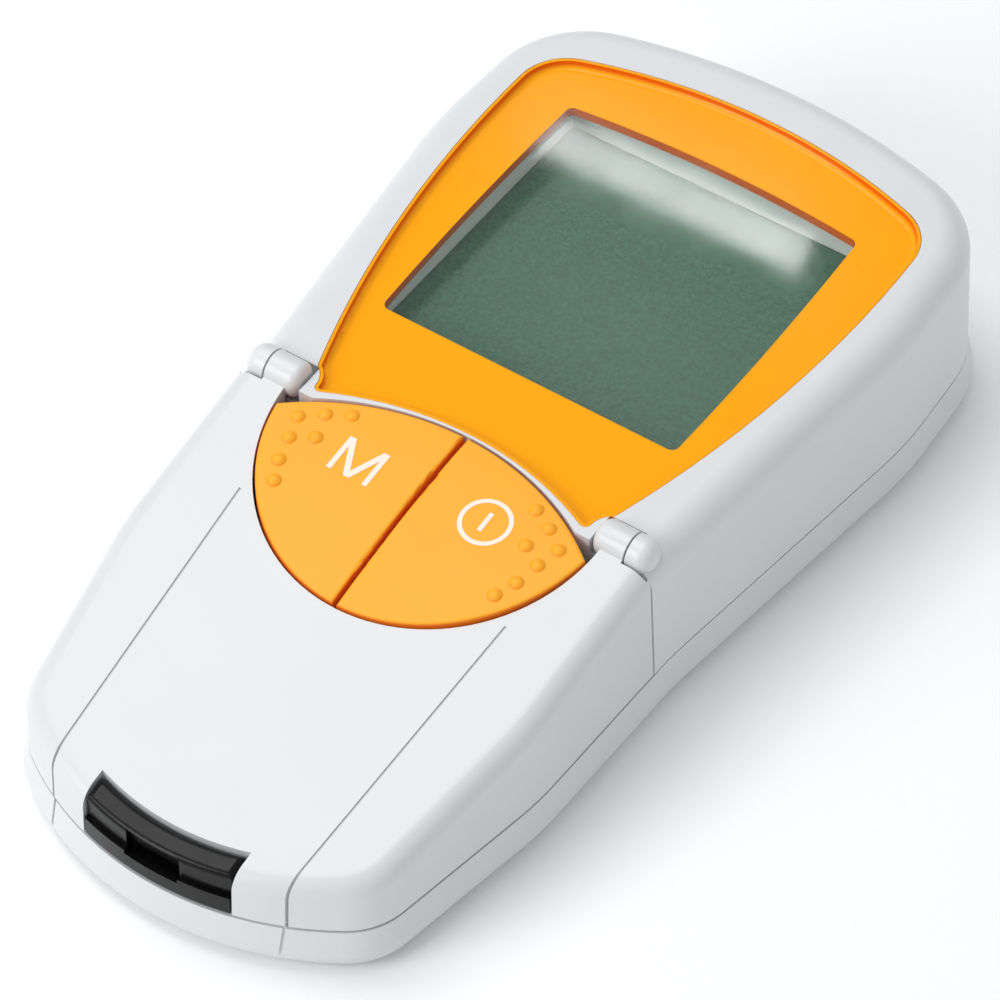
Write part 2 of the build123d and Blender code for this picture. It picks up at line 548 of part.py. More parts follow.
# --- Upper housing ---------------------------------------------------------------------------
def tongue(inset, drop):
    """The D-shaped tower that reaches forward under the keys."""
    return prism(keys_face(inset), SEAM_HIGH, HEIGHT + OVER) & below_crown(drop)


def upper_housing():
    """Shell of the display end with the tongue, the bezel seat and the outer hinge knuckles."""
    outer = display_form() + tongue(TONGUE_INSET, KEY_DROP)
    inner = display_form(WALL)
    throat = post(0, KEYS_Y, SEAM_HIGH, THROAT_TOP_Z, KEYS_RADIUS - TONGUE_INSET - TONGUE_WALL)
    inner += throat & block(-FAR, FAR, PLUNGER_Y, FAR, 0, FAR)
    inner += tongue(TONGUE_INSET + TONGUE_WALL, KEY_DROP + TONGUE_DECK)
    body = outer - inner
    # Ledge under the bezel
    ring = seat_face() - bezel_face(BEZEL_SEAT)
    ledge = on_display(ring, -BEZEL_DEPTH - BEZEL_LEDGE, -WALL / 2)
    body += ledge & block(-FAR, FAR, DISPLAY_FRONT_Y, FAR, 0, HEIGHT)
    # Walls and floor of the pocket that holds the keys
    pocket = prism(keys_face(-KEY_POCKET_GAP - KEY_POCKET_WALL), PARTING_Z, HEIGHT + OVER)
    pocket &= display_form()
    body += pocket - below_crown(KEY_DROP + TONGUE_DECK)
    body -= prism(keys_face(-KEY_POCKET_GAP), PARTING_Z, HEIGHT + OVER) - below_crown(KEY_DROP)
    body -= on_display(bezel_face(), -BEZEL_DEPTH, BEZEL_DEPTH)
    for x in (-PLUNGER_X, PLUNGER_X):
        body -= post(x, PLUNGER_Y, PARTING_Z, HEIGHT, PLUNGER_RADIUS + PLUNGER_CLEARANCE)
    # Bosses
    for x, y in HOUSING_BOSSES:
        for side in (-x, x):
            body += post(side, y, SEAM_HIGH, display_z(y) - BOSS_TOP_DROP, BOSS_RADIUS)
            body -= post(side, y, PARTING_Z, SEAM_HIGH + SCREW_LENGTH, SCREW_RADIUS)
    for x, y in BOARD_BOSSES:
        for side in (-x, x):
            body += post(side, y, BOARD_TOP, display_z(y) - BOSS_TOP_DROP, BOARD_BOSS_RADIUS)
            body -= post(side, y, BOARD_TOP, BOARD_TOP + BOARD_SCREW_LENGTH, BOARD_SCREW_RADIUS)
    # Hinge: room for the flap's barrels, then the fixed outer knuckles
    low_x, high_x = BARREL_INNER_X - BARREL_ROOM, BARREL_SPLIT_X + KNUCKLE_GAP / 2
    room = rod(low_x, high_x, HINGE_Y, HINGE_Z, KNUCKLE_RADIUS + BARREL_ROOM)
    for solid in both_sides(room):
        body -= solid
    for solid in both_sides(knuckle()):
        body += solid
    for solid in both_sides(rod(BARREL_SPLIT_X, pin_end(), HINGE_Y, HINGE_Z, HINGE_PIN_RADIUS)):
        body -= solid
    # SET key and infrared port
    half_l, half_h = SET_LENGTH / 2 + SET_GAP, SET_HEIGHT / 2 + SET_GAP
    body -= set_shape(-FAR, -side_wall_x() + SET_SWITCH_IN, half_l, half_h)
    body -= block(-IR_HALF_X, IR_HALF_X, TIP_Y - IR_CUT_DEPTH, FAR, IR_Z - IR_HALF_Z, IR_Z + IR_HALF_Z)
    return body


def knuckle():
    """Fixed knuckle on the right side, domed at its outer end."""
    body = rod(BARREL_SPLIT_X + KNUCKLE_GAP / 2, KNUCKLE_END_X, HINGE_Y, HINGE_Z, KNUCKLE_RADIUS)
    rim = [e for e in body.edges() if abs(e.center().X - KNUCKLE_END_X) < 0.01]
    return fillet(rim, KNUCKLE_DOME)


def pin_end():
    """Outer end of the hinge pin."""
    return KNUCKLE_END_X - PIN_INSET


def set_shape(x0, x1, half_l, half_h):
    """An upright oval prism across the left wall."""
    outline = SlotOverall(2 * half_l, 2 * half_h)
    return Pos(x0, SET_Y, SET_Z) * extrude(Plane.YZ * outline, x1 - x0)


# --- Display ---------------------------------------------------------------------------------
def display_bezel():
    """Dished orange plate with a raised rim and the window opening."""
    body = on_display(bezel_face(BEZEL_FIT), -BEZEL_DEPTH, 0)
    body -= on_display(bezel_face(BEZEL_FIT + BEZEL_RIM), -BEZEL_DISH, BEZEL_DISH)
    foot = edges_at_depth(body, BEZEL_DISH)
    body = fillet(foot, BEZEL_FOOT_FILLET)
    body = fillet(edges_at_depth(body, 0), BEZEL_RIM_ROUND)
    return body - on_display(window_face(), -2 * BEZEL_DEPTH, BEZEL_DEPTH)


def edges_at_depth(body, depth):
    """Edges that lie in the display face lowered by a distance."""
    found = []
    for edge in body.edges():
        places = [edge.position_at(t) for t in (0.0, 0.5, 1.0)]
        if all(abs(p.Z - display_z(p.Y) + depth) < 0.02 for p in places):
            found.append(edge)
    return found


def display_lens():
    """Clear window, flush with the bezel's plate."""
    return on_display(window_face(LENS_FIT), -BEZEL_DISH - LENS_THICKNESS, -BEZEL_DISH)


def lcd_frame():
    """White frame between the board and the bezel, with a ledge for the glass."""
    outer_x, wall = FRAME_INNER_X + FRAME_WALL, FRAME_WALL
    y0, y1 = FRAME_INNER_Y0, FRAME_INNER_Y1
    body = block(-outer_x, outer_x, y0 - wall, y1 + wall, BOARD_TOP, HEIGHT)
    body -= block(-FRAME_INNER_X, FRAME_INNER_X, y0, y1, LCD_TOP_Z - LCD_GLASS, HEIGHT)
    ledge_x = FRAME_INNER_X - FRAME_LEDGE
    body -= block(-ledge_x, ledge_x, y0 + FRAME_LEDGE, y1 - FRAME_LEDGE, BOARD_Z, HEIGHT)
    return body & half_space(lambda y: display_z(y) - BEZEL_DEPTH - LCD_FIT, -FAR / 2, FAR / 2)


def lcd_glass():
    """The bonded pair of glass plates."""
    x = FRAME_INNER_X - LCD_FIT
    y0, y1 = FRAME_INNER_Y0 + LCD_FIT, FRAME_INNER_Y1 - LCD_FIT
    return block(-x, x, y0, y1, LCD_TOP_Z - LCD_GLASS, LCD_TOP_Z)


def lcd_connectors():
    """Elastomer strips between the board and the glass."""
    strips = []
    inset = FRAME_LEDGE + LCD_FIT
    half = CONNECTOR_LENGTH / 2
    for y in (FRAME_INNER_Y0 + inset, FRAME_INNER_Y1 - inset - CONNECTOR_WIDTH):
        strips.append(block(-half, half, y, y + CONNECTOR_WIDTH, BOARD_TOP, LCD_TOP_Z - LCD_GLASS))
    return strips


# --- Board -----------------------------------------------------------------------------------
def main_board():
    """Circuit board under the display and the keys."""
    back_y = DISPLAY_FRONT_Y + WALL + BOARD_FRONT_GAP
    back = plan(BOARD_INSET) & Pos(0, back_y + FAR / 2) * Rectangle(FAR, FAR)
    round_front = Pos(0, KEYS_Y) * Circle(KEYS_RADIUS - TONGUE_INSET - TONGUE_WALL - BOARD_GAP)
    face = back + (round_front & Pos(0, -FAR / 2) * Rectangle(FAR, FAR))
    for x, y in HOUSING_BOSSES:
        for side in (-x, x):
            face -= Pos(side, y) * Circle(BOSS_RADIUS + BOSS_CLEARANCE)
    for x, y in BOARD_BOSSES:
        for side in (-x, x):
            face -= Pos(side, y) * Circle(BOARD_SCREW_RADIUS + BOARD_HOLE_CLEARANCE)
    # Notch for the flange of the SET key
    notch_x = set_flange_x() + SET_FLANGE_THICKNESS + SET_TRAVEL + SET_GAP
    notch_width = SET_LENGTH + 2 * (SET_FLANGE + SET_GAP)
    face -= Pos(notch_x - FAR / 2, SET_Y) * Rectangle(FAR, notch_width)
    return prism(face, BOARD_Z, BOARD_TOP)


def board_screws():
    """Four screws through the board into the upper housing."""
    screws = []
    for x, y in BOARD_BOSSES:
        for side in (-x, x):
            shank = post(side, y, BOARD_Z, BOARD_Z + BOARD_SCREW_LENGTH, BOARD_SCREW_RADIUS)
            head = post(side, y, BOARD_Z - BOARD_HEAD_HEIGHT, BOARD_Z, BOARD_SCREW_HEAD)
            screws.append(shank + head)
    return screws


def under_board(x0, x1, y0, y1, height):
    """A chip on the underside of the board."""
    return block(x0, x1, y0, y1, BOARD_Z - height, BOARD_Z)


def keypad_mat():
    """Silicone mat on the board with a dome under each key."""
    face = keys_face(TONGUE_INSET + TONGUE_WALL + MAT_GAP)
    face &= Pos(0, MAT_REAR_Y - FAR / 2) * Rectangle(FAR, FAR)
    body = prism(face, BOARD_TOP, BOARD_TOP + MAT_THICKNESS)
    height = DOME_TOP_Z - BOARD_TOP
    for x in (-PLUNGER_X, PLUNGER_X):
        dome = Cone(DOME_RADIUS, DOME_TOP_RADIUS, height)
        body += Pos(x, PLUNGER_Y, BOARD_TOP + height / 2) * dome
    return body


def quartz_crystal():
    """Metal can of the clock crystal, lying under the board."""
    half = CRYSTAL_LENGTH / 2
    z = BOARD_Z - CRYSTAL_RADIUS
    return rod(CRYSTAL_X - half, CRYSTAL_X + half, CRYSTAL_Y, z, CRYSTAL_RADIUS)


# --- Keys ------------------------------------------------------------------------------------
def key(side):
    """One of the two keys; side is -1 on the left and 1 on the right."""
    reach = Pos(side * (KEY_SPLIT / 2 + FAR / 2), 0, 0) * Box(FAR, FAR, FAR)
    cap = prism(keys_face(), PARTING_Z, HEIGHT + OVER) & reach & below_crown(0)
    upper = [e for e in cap.edges() if is_on_crown(e)]
    cap = fillet(upper, KEY_EDGE_ROUND)
    cap -= below_crown(KEY_THICKNESS)
    plunger_z = DOME_TOP_Z + KEY_TRAVEL + KEY_FREE_GAP
    plunger = post(side * PLUNGER_X, PLUNGER_Y, plunger_z, HEIGHT, PLUNGER_RADIUS)
    return cap + (plunger & below_crown(KEY_THICKNESS / 2))


def crown_z(y):
    """Height of the key faces."""
    (y0, z0), (y1, z1), (y2, z2) = CROWN_FRONT, CROWN_MIDDLE, CROWN_REAR
    circle = Edge.make_three_point_arc((y0, z0), (y1, z1), (y2, z2))
    centre = circle.arc_center
    return centre.Y + math.sqrt(circle.radius ** 2 - (y - centre.X) ** 2)


def is_on_crown(edge):
    """True for an edge that lies in the key faces."""
    places = [edge.position_at(t) for t in (0.0, 0.3, 0.7, 1.0)]
    return all(abs(p.Z - crown_z(p.Y)) < 0.02 for p in places)


def dots(side):
    """Low domes on a key."""
    ball_radius = (DOT_RADIUS ** 2 + DOT_HEIGHT ** 2) / (2 * DOT_HEIGHT)
    solids = []
    for across, along in DOTS:
        x, y = side * across * KEYS_RADIUS, KEYS_Y + along * KEYS_RADIUS
        solids.append(Pos(x, y, crown_z(y) + DOT_HEIGHT - ball_radius) * Sphere(ball_radius))
    return solids


def button(side):
    """A key with its raised dots."""
    body = key(side)
    for dot in dots(side):
        body += dot
    return body


def side_wall_x():
    """Half width of the body at the SET key."""
    slope = (SIDE_X + SHOULDER_SHAVE - WAIST_X) / (SHOULDER_Y - WAIST_Y)
    lean = math.tan(math.radians(SIDE_DRAFT)) * (SET_Z - PARTING_Z)
    return WAIST_X + slope * (SET_Y - WAIST_Y) - lean


def set_flange_x():
    """Outer face of the SET key's flange."""
    return -side_wall_x() + WALL + SET_FLANGE_GAP


def set_switch_x():
    """Outer face of the switch on the board."""
    return -side_wall_x() + SET_SWITCH_IN


def set_button():
    """Small oval key in the left wall, with a flange inside and a stem to its switch."""
    outer_x, flange_x = -side_wall_x() - SET_PROUD, set_flange_x()
    half_l, half_h = SET_LENGTH / 2, SET_HEIGHT / 2
    cap = set_shape(outer_x, flange_x, half_l, half_h)
    cap = fillet([e for e in cap.edges() if abs(e.center().X - outer_x) < 0.01], SET_ROUND)
    flange_end = flange_x + SET_FLANGE_THICKNESS
    cap += set_shape(flange_x, flange_end, half_l + SET_FLANGE, half_h + SET_FLANGE)
    stem_end = set_switch_x() - SET_STUB - SET_TRAVEL - KEY_FREE_GAP
    return cap + rod(flange_x, stem_end, SET_Y, SET_Z, SET_STEM_RADIUS)


def set_switch():
    """Tact switch at the left edge of the board, under the SET key's stem."""
    x, size = set_switch_x(), SET_SWITCH_SIZE
    body = block(x, x + size, SET_Y - size, SET_Y + size, BOARD_TOP, BOARD_TOP + size)
    return body + rod(x - SET_STUB, x, SET_Y, SET_Z, SET_STUB_RADIUS)


# --- Infrared port ---------------------------------------------------------------------------
def ir_window():
    """Dark window set into the rear wall."""
    face = display_form(IR_RECESS) - display_form(IR_RECESS + IR_THICKNESS)
    low_z, high_z = IR_Z - IR_HALF_Z, IR_Z + IR_HALF_Z
    return face & block(-IR_HALF_X, IR_HALF_X, TIP_Y - IR_CUT_DEPTH, FAR, low_z, high_z)


def ir_module():
    """Infrared transceiver on the rear edge of the board."""
    rear, depth = TIP_Y - BOARD_INSET - IR_MODULE_IN, IR_MODULE_DEPTH
    body = block(-IR_MODULE_X, IR_MODULE_X, rear - depth, rear, BOARD_TOP, BOARD_TOP + depth)
    for x in (-IR_MODULE_X / 2, IR_MODULE_X / 2):
        body += Pos(x, rear, BOARD_TOP + depth / 2) * Sphere(IR_EYE_RADIUS)
    return body


# --- Screws ----------------------------------------------------------------------------------
def screw(x, y, length):
    """Pan head screw entered from below."""
    top = SCREW_SINK + SCREW_HEAD_HEIGHT
    head = post(x, y, SCREW_SINK, top, SCREW_HEAD_RADIUS)
    rim = [e for e in head.edges() if abs(e.center().Z - SCREW_SINK) < 0.01]
    head = fillet(rim, SCREW_HEAD_ROUND)
    arm, half, depth = SCREW_RADIUS, CROSS_WIDTH / 2, SCREW_SINK + CROSS_DEPTH
    head -= block(x - arm, x + arm, y - half, y + half, 0, depth)
    head -= block(x - half, x + half, y - arm, y + arm, 0, depth)
    return head + post(x, y, top, top + length, SCREW_RADIUS)


def housing_screws():
    """Four long screws into the upper housing and two short ones into the deck."""
    screws = []
    for places, length in ((HOUSING_BOSSES, SCREW_LENGTH), (DECK_BOSSES, DECK_SCREW_LENGTH)):
        for x, y in places:
            screws += [screw(side, y, length) for side in (-x, x)]
    return screws


# --- Batteries -------------------------------------------------------------------------------
def tip_forward(i):
    """Every other cell has its tip at the strip end."""
    return i % 2 == 0


def cell(i):
    """One AAA cell lying along Y."""
    body = Pos(0, CELL_LENGTH / 2) * Rot(90, 0, 0) * Cylinder(CELL_RADIUS, CELL_LENGTH)
    body = fillet([e for e in body.edges() if e.geom_type == GeomType.CIRCLE], CELL_ROUND)
    body += Pos(0, -CELL_TIP / 2) * Rot(90, 0, 0) * Cylinder(CELL_TIP_RADIUS, CELL_TIP)
    if tip_forward(i):
        return Pos(CELL_X[i], BAY_Y0 + PLATE + CELL_TIP, CELL_Z) * body
    return Pos(CELL_X[i], BAY_Y1 - PLATE - CELL_TIP, CELL_Z) * Rot(0, 0, 180) * body


def spring(i):
    """Contact spring behind the flat end of one cell."""
    room = BAY_Y1 - BAY_Y0 - 2 * PLATE - CELL_LENGTH - CELL_TIP - 2 * SPRING_WIRE
    coil = Helix(room / SPRING_TURNS, room, SPRING_RADIUS, cone_angle=SPRING_CONE)
    start = coil.position_at(0)
    profile = Plane(start, z_dir=coil.tangent_at(0)) * Circle(SPRING_WIRE)
    body = sweep(profile, path=coil, is_frenet=True)
    if tip_forward(i):
        return Pos(CELL_X[i], BAY_Y1 - PLATE - SPRING_WIRE, CELL_Z) * Rot(90, 0, 0) * body
    return Pos(CELL_X[i], BAY_Y0 + PLATE + SPRING_WIRE, CELL_Z) * Rot(-90, 0, 0) * body


def contact_plates():
    """Contact sheets at both ends of the bay; the outer front ones reach up to the board."""
    plates = []
    low_z, high_z = CELL_Z - PLATE_HALF_Z, CELL_Z + PLATE_HALF_Z
    for i, x in enumerate(CELL_X):
        x0, x1 = x - PLATE_HALF_X, x + PLATE_HALF_X
        front = block(x0, x1, BAY_Y0, BAY_Y0 + PLATE, low_z, high_z)
        if i in (0, CELL_COUNT - 1):
            front += block(x - TAB_HALF_X, x + TAB_HALF_X, BAY_Y0, BAY_Y0 + PLATE, CELL_Z, BOARD_Z)
        plates += [front, block(x0, x1, BAY_Y1 - PLATE, BAY_Y1, low_z, high_z)]
    return plates


def battery_door():
    """Door of the battery bay, with a sprung latch tab at its front edge."""
    x, gap = DOOR_HALF_X - DOOR_GAP, DOOR_GAP
    y0, y1 = DOOR_Y0 + gap, DOOR_Y1 - gap
    body = block(-x, x, y0, y1, DOOR_RAISE, DOOR_TOP)
    corners = [e for e in body.edges() if abs(e.length - DOOR_THICKNESS) < 0.01]
    body = fillet(corners, DOOR_ROUND)
    # Lugs that stand in notches of the bay's rear wall
    for lug_x in (-DOOR_LUG_X, DOOR_LUG_X):
        low_x, high_x = lug_x - DOOR_LUG_HALF_X, lug_x + DOOR_LUG_HALF_X
        body += block(low_x, high_x, BAY_Y1 + DOOR_LUG_FIT, y1, DOOR_TOP, DOOR_TOP + DOOR_LUG_HEIGHT)
    # Slots each side of the latch tab, and ridges across it
    slot = block(LATCH_HALF_X, LATCH_HALF_X + LATCH_SLOT, y0 - OVER, y0 + LATCH_LENGTH, 0, FAR)
    for solid in both_sides(slot):
        body -= solid
    ridge_x = LATCH_HALF_X - LATCH_RIDGE_IN
    for i in range(LATCH_RIDGES):
        y = y0 + LATCH_RIDGE_Y + i * 2 * LATCH_RIDGE
        body -= block(-ridge_x, ridge_x, y, y + LATCH_RIDGE, 0, DOOR_RAISE + LATCH_RIDGE_DEPTH)
    return body


# --- Test strip end --------------------------------------------------------------------------
def chamber_deck():
    """Deck under the flap, with rails for the strip guide and a seat for the heater plate."""
    rear_y = FLAP_REAR_Y - FLAP_REAR_WALL - FLAP_GAP
    face = plan(DECK_INSET) & Pos(0, rear_y - FAR / 2) * Rectangle(FAR, FAR)
    face -= Pos(0, KEYS_Y) * Circle(KEYS_RADIUS - TONGUE_INSET + DECK_TONGUE_GAP)
    body = prism(face, DECK_Z, DECK_TOP)
    nose_x = NOSE_HALF_X + NOSE_GAP
    nose_room = prism(plan(-OVER) - plan(NOSE_DEPTH + NOSE_GAP), DECK_Z + NOSE_GAP, DECK_TOP)
    body -= nose_room & block(-nose_x, nose_x, -FAR, -LENGTH / 4, 0, FAR)
    rail_x = TRAY_HALF_X + FLAP_GAP
    rail_y = -TIP_Y + NOSE_DEPTH + RAIL_START
    rail = block(rail_x, rail_x + RAIL_WIDTH, rail_y, TRAY_REAR_Y, DECK_TOP, DECK_TOP + RAIL_HEIGHT)
    for solid in both_sides(rail):
        body += solid
    stop_y = TRAY_REAR_Y + FLAP_GAP
    body += block(-rail_x, rail_x, stop_y, stop_y + RAIL_WIDTH, DECK_TOP, DECK_TOP + RAIL_HEIGHT)
    body -= heater_block(HEATER_FIT)
    body -= post(0, SPOT_Y, 0, FAR, EYE_RADIUS - EYE_SEAT)
    for x, y in DECK_BOSSES:
        for side in (-x, x):
            body += post(side, y, DECK_TOP, DECK_TOP + DECK_COLLAR, BOSS_RADIUS)
            body -= post(side, y, 0, SCREW_SINK + SCREW_HEAD_HEIGHT + DECK_SCREW_LENGTH, SCREW_RADIUS)
    return body


def heater_block(clearance=0.0):
    """Block of the heater plate, or of its seat when a clearance is given."""
    x, y = HEATER_HALF_X + clearance, HEATER_HALF_Y + clearance
    return block(-x, x, SPOT_Y - y, SPOT_Y + y, DECK_TOP - HEATER_THICKNESS, DECK_TOP)


def heater_plate():
    """Warmed metal plate under the strip, with a hole for the optics."""
    return heater_block() - post(0, SPOT_Y, 0, FAR, EYE_RADIUS)


def optics_window():
    """Glass in the heater plate's hole."""
    low = DECK_TOP - HEATER_THICKNESS
    return post(0, SPOT_Y, low, DECK_TOP - EYE_SINK, EYE_RADIUS - EYE_FIT)


def sensor_board():
    """Small board on the floor of the lower housing."""
    x, y = OPTICS_HALF_X + OPTICS_MARGIN, OPTICS_HALF_Y + OPTICS_MARGIN
    return block(-x, x, SPOT_Y - y, SPOT_Y + y, FLOOR + SENSOR_LIFT, SENSOR_TOP)


def led_places():
    """Three light sources round the photodiode."""
    angles = [math.radians(90 + 120 * i) for i in range(3)]
    return [(LED_RING * math.cos(a), SPOT_Y + LED_RING * math.sin(a)) for a in angles]


def optics_block():
    """Black block that keeps the light of each source on the strip."""
    low = SENSOR_TOP
    y0, y1 = SPOT_Y - OPTICS_HALF_Y, SPOT_Y + OPTICS_HALF_Y
    body = block(-OPTICS_HALF_X, OPTICS_HALF_X, y0, y1, low, DECK_Z)
    funnel = Cone(DIODE_SIZE, EYE_RADIUS - EYE_SEAT, DECK_Z - low)
    body -= Pos(0, SPOT_Y, (low + DECK_Z) / 2) * funnel
    for x, y in led_places():
        body -= post(x, y, low, low + LED_HEIGHT + LED_HEADROOM, LED_RADIUS + LED_CLEARANCE)
    return body


def optics_leds():
    """Light sources of the measuring head."""
    top = SENSOR_TOP + LED_HEIGHT
    return [post(x, y, SENSOR_TOP, top, LED_RADIUS) for x, y in led_places()]


def photodiode():
    """Receiver under the optics window."""
    half, top = DIODE_SIZE / 2, SENSOR_TOP + DIODE_HEIGHT
    return block(-half, half, SPOT_Y - half, SPOT_Y + half, SENSOR_TOP, top)


def sensor_ribbon():
    """Flat flexible lead from the sensor board up to the main board."""
    low, high = SENSOR_TOP + RIBBON / 2, BOARD_Z - RIBBON / 2
    start_y, end_y = SPOT_Y + OPTICS_HALF_Y + RIBBON_START, RIBBON_Y + RIBBON_END
    points = [(0, start_y, low), (0, RIBBON_Y, low), (0, RIBBON_Y, high), (0, end_y, high)]
    path = FilletPolyline(*points, radius=RIBBON_BEND)
    profile = Plane(points[0], x_dir=(1, 0, 0), z_dir=(0, 1, 0)) * Rectangle(RIBBON_WIDTH, RIBBON)
    return sweep(profile, path=path)


def nose_band(z0, z1, setback):
    """Part of the strip guide's nose between two heights, following the front bow."""
    band = plan(setback) - plan(NOSE_DEPTH)
    return prism(band, z0, z1) & block(-NOSE_HALF_X, NOSE_HALF_X, -FAR, -LENGTH / 4, 0, FAR)


def strip_guide():
    """Black guide: a curved nose with the strip slot, and a tray that carries the strip."""
    body = nose_band(FLAP_BOTTOM_Z, NOSE_STEP_Z, NOSE_LOW_SETBACK)
    upper = nose_band(NOSE_STEP_Z - OVER, HEIGHT, NOSE_SETBACK)
    body += upper & half_space(lambda y: flap_z(y) - NOSE_TOP_DROP, -FAR, 0)
    top = [e for e in body.edges() if is_nose_top(e)]
    body = fillet(top, NOSE_TOP_ROUND)
    tray_front = -TIP_Y + NOSE_DEPTH - TRAY_LAP
    body += block(-TRAY_HALF_X, TRAY_HALF_X, tray_front, TRAY_REAR_Y, TRAY_Z, TRAY_TOP)
    slot_z0, slot_z1 = TRAY_Z + STRIP_FLOOR, TRAY_Z + STRIP_FLOOR + SLOT_HEIGHT
    body -= block(-STRIP_HALF_X, STRIP_HALF_X, -FAR, TRAY_REAR_Y - STRIP_STOP, slot_z0, slot_z1)
    open_x = STRIP_HALF_X + CHAMBER_WIDER
    body -= block(-open_x, open_x, CHAMBER_Y0, CHAMBER_Y1, slot_z0, FAR)
    body -= post(0, SPOT_Y, 0, slot_z0, EYE_RADIUS - EYE_SEAT)
    mouth_y = -TIP_Y + MOUTH_DEPTH
    body -= block(-MOUTH_HALF_X, MOUTH_HALF_X, -FAR, mouth_y, slot_z0, MOUTH_TOP_Z)
    return body


def is_nose_top(edge):
    """True for an upper edge of the nose."""
    places = [edge.position_at(t) for t in (0.0, 0.5, 1.0)]
    return all(abs(p.Z - flap_z(p.Y) + NOSE_TOP_DROP) < 0.02 for p in places)


# --- Flap ------------------------------------------------------------------------------------
def flap_cover():
    """Hinged cover of the strip end, open round the keys and at the strip guide."""
    body = flap_form()
    cavity = flap_form(WALL, 0.0) & block(-FAR, FAR, -FAR, FLAP_REAR_Y - FLAP_REAR_WALL, 0, FAR)
    body -= cavity
    # Collar round the keys
    collar_radius = KEYS_RADIUS + FLAP_GAP
    ring = Pos(0, KEYS_Y) * (Circle(collar_radius + COLLAR_THICKNESS) - Circle(collar_radius))
    collar = prism(ring, PARTING_Z, HEIGHT) & half_space(flap_z, -FAR, FLAP_REAR_Y)
    collar -= half_space(lambda y: flap_z(y) - COLLAR_HEIGHT, -FAR, 0)
    body += collar
    body -= prism(Pos(0, KEYS_Y) * Circle(collar_radius), 0, FAR)
    # Notch for the nose of the strip guide
    notch_x = NOSE_HALF_X + NOSE_GAP
    notch = prism(plan(-OVER) - plan(NOSE_DEPTH + NOSE_GAP), 0, FAR)
    body -= notch & block(-notch_x, notch_x, -FAR, -LENGTH / 4, 0, FAR)
    body -= flap_lines()
    # Stem of the pressure pad and the finger over the flap switch
    pad_top = TRAY_TOP + PAD_LIFT + PAD_THICKNESS
    switch_top = DECK_TOP + SWITCH_HEIGHT + SWITCH_STUB + FLAP_GAP
    ribs = square_post(0, SPOT_Y, PAD_STEM_HALF, pad_top)
    ribs += square_post(SWITCH_X, SWITCH_Y, FINGER_HALF, switch_top)
    body += ribs & half_space(lambda y: flap_z(y) - WALL / 2, -FAR, 0)
    # Hinge barrels, each on a neck, with room for the fixed knuckles
    split_x = BARREL_SPLIT_X - KNUCKLE_GAP / 2
    room = rod(split_x, KNUCKLE_END_X + BARREL_ROOM, HINGE_Y, HINGE_Z, KNUCKLE_RADIUS + BARREL_ROOM)
    bore = rod(BARREL_INNER_X + OVER, BARREL_SPLIT_X + OVER, HINGE_Y, HINGE_Z,
               HINGE_PIN_RADIUS + PIN_RUN_CLEARANCE)
    for solid in both_sides(barrel()):
        body += solid
    for solid in both_sides(room) + both_sides(bore):
        body -= solid
    return body


def square_post(x, y, half, z0):
    """A square post that reaches up into the flap."""
    return block(x - half, x + half, y - half, y + half, z0, FAR)


def barrel():
    """Hinge barrel of the flap on the right side, with its neck."""
    end = BARREL_SPLIT_X - KNUCKLE_GAP / 2
    body = rod(BARREL_INNER_X, end, HINGE_Y, HINGE_Z, KNUCKLE_RADIUS)
    rim = [e for e in body.edges() if abs(e.center().X - BARREL_INNER_X) < 0.01]
    body = fillet(rim, BARREL_ROUND)
    neck_y = FLAP_REAR_Y - NECK_LENGTH
    neck = block(KEYS_RADIUS + FLAP_GAP, end, neck_y, HINGE_Y, HINGE_Z - NECK_DEPTH, flap_z(neck_y))
    return body + neck


def flap_lines():
    """Fine lines along the flap: two down its upper face that run on down the front wall."""
    skin = flap_form() - flap_form(GROOVE_DEPTH, 0.0)
    front_y = -LENGTH / 2
    length = math.hypot(GROOVE_REAR_Y - front_y, GROOVE_REAR_X - GROOVE_FRONT_X)
    angle = math.degrees(math.atan2(GROOVE_FRONT_X - GROOVE_REAR_X, GROOVE_REAR_Y - front_y))
    middle = Pos((GROOVE_FRONT_X + GROOVE_REAR_X) / 2, (front_y + GROOVE_REAR_Y) / 2, HEIGHT / 2)
    sheet = middle * Rot(0, 0, angle) * Box(GROOVE_WIDTH, length, 2 * HEIGHT)
    right, left = both_sides(sheet)
    return skin & (right + left)


def pressure_pad():
    """Soft pad that holds the strip down when the flap is shut."""
    z0 = TRAY_TOP + PAD_LIFT
    body = block(-PAD_HALF, PAD_HALF, SPOT_Y - PAD_HALF, SPOT_Y + PAD_HALF, z0, z0 + PAD_THICKNESS)
    low = [e for e in body.edges() if abs(e.center().Z - z0) < 0.01]
    return fillet(low, PAD_ROUND)


def hinge_pins():
    """Steel pins of the flap hinge."""
    return both_sides(rod(BARREL_INNER_X + PIN_INSET, pin_end(), HINGE_Y, HINGE_Z, HINGE_PIN_RADIUS))


def flap_switch():
    """Small switch on the deck that tells whether the flap is shut."""
    top = DECK_TOP + SWITCH_HEIGHT
    x0, x1 = SWITCH_X - SWITCH_HALF_X, SWITCH_X + SWITCH_HALF_X
    body = block(x0, x1, SWITCH_Y - SWITCH_HALF_Y, SWITCH_Y + SWITCH_HALF_Y, DECK_TOP, top)
    return body + post(SWITCH_X, SWITCH_Y, top, top + SWITCH_STUB, SWITCH_STUB)


# --- Build and write -------------------------------------------------------------------------
def group(solids):
    """Several separate solids in one node."""
    return Compound(children=list(solids))


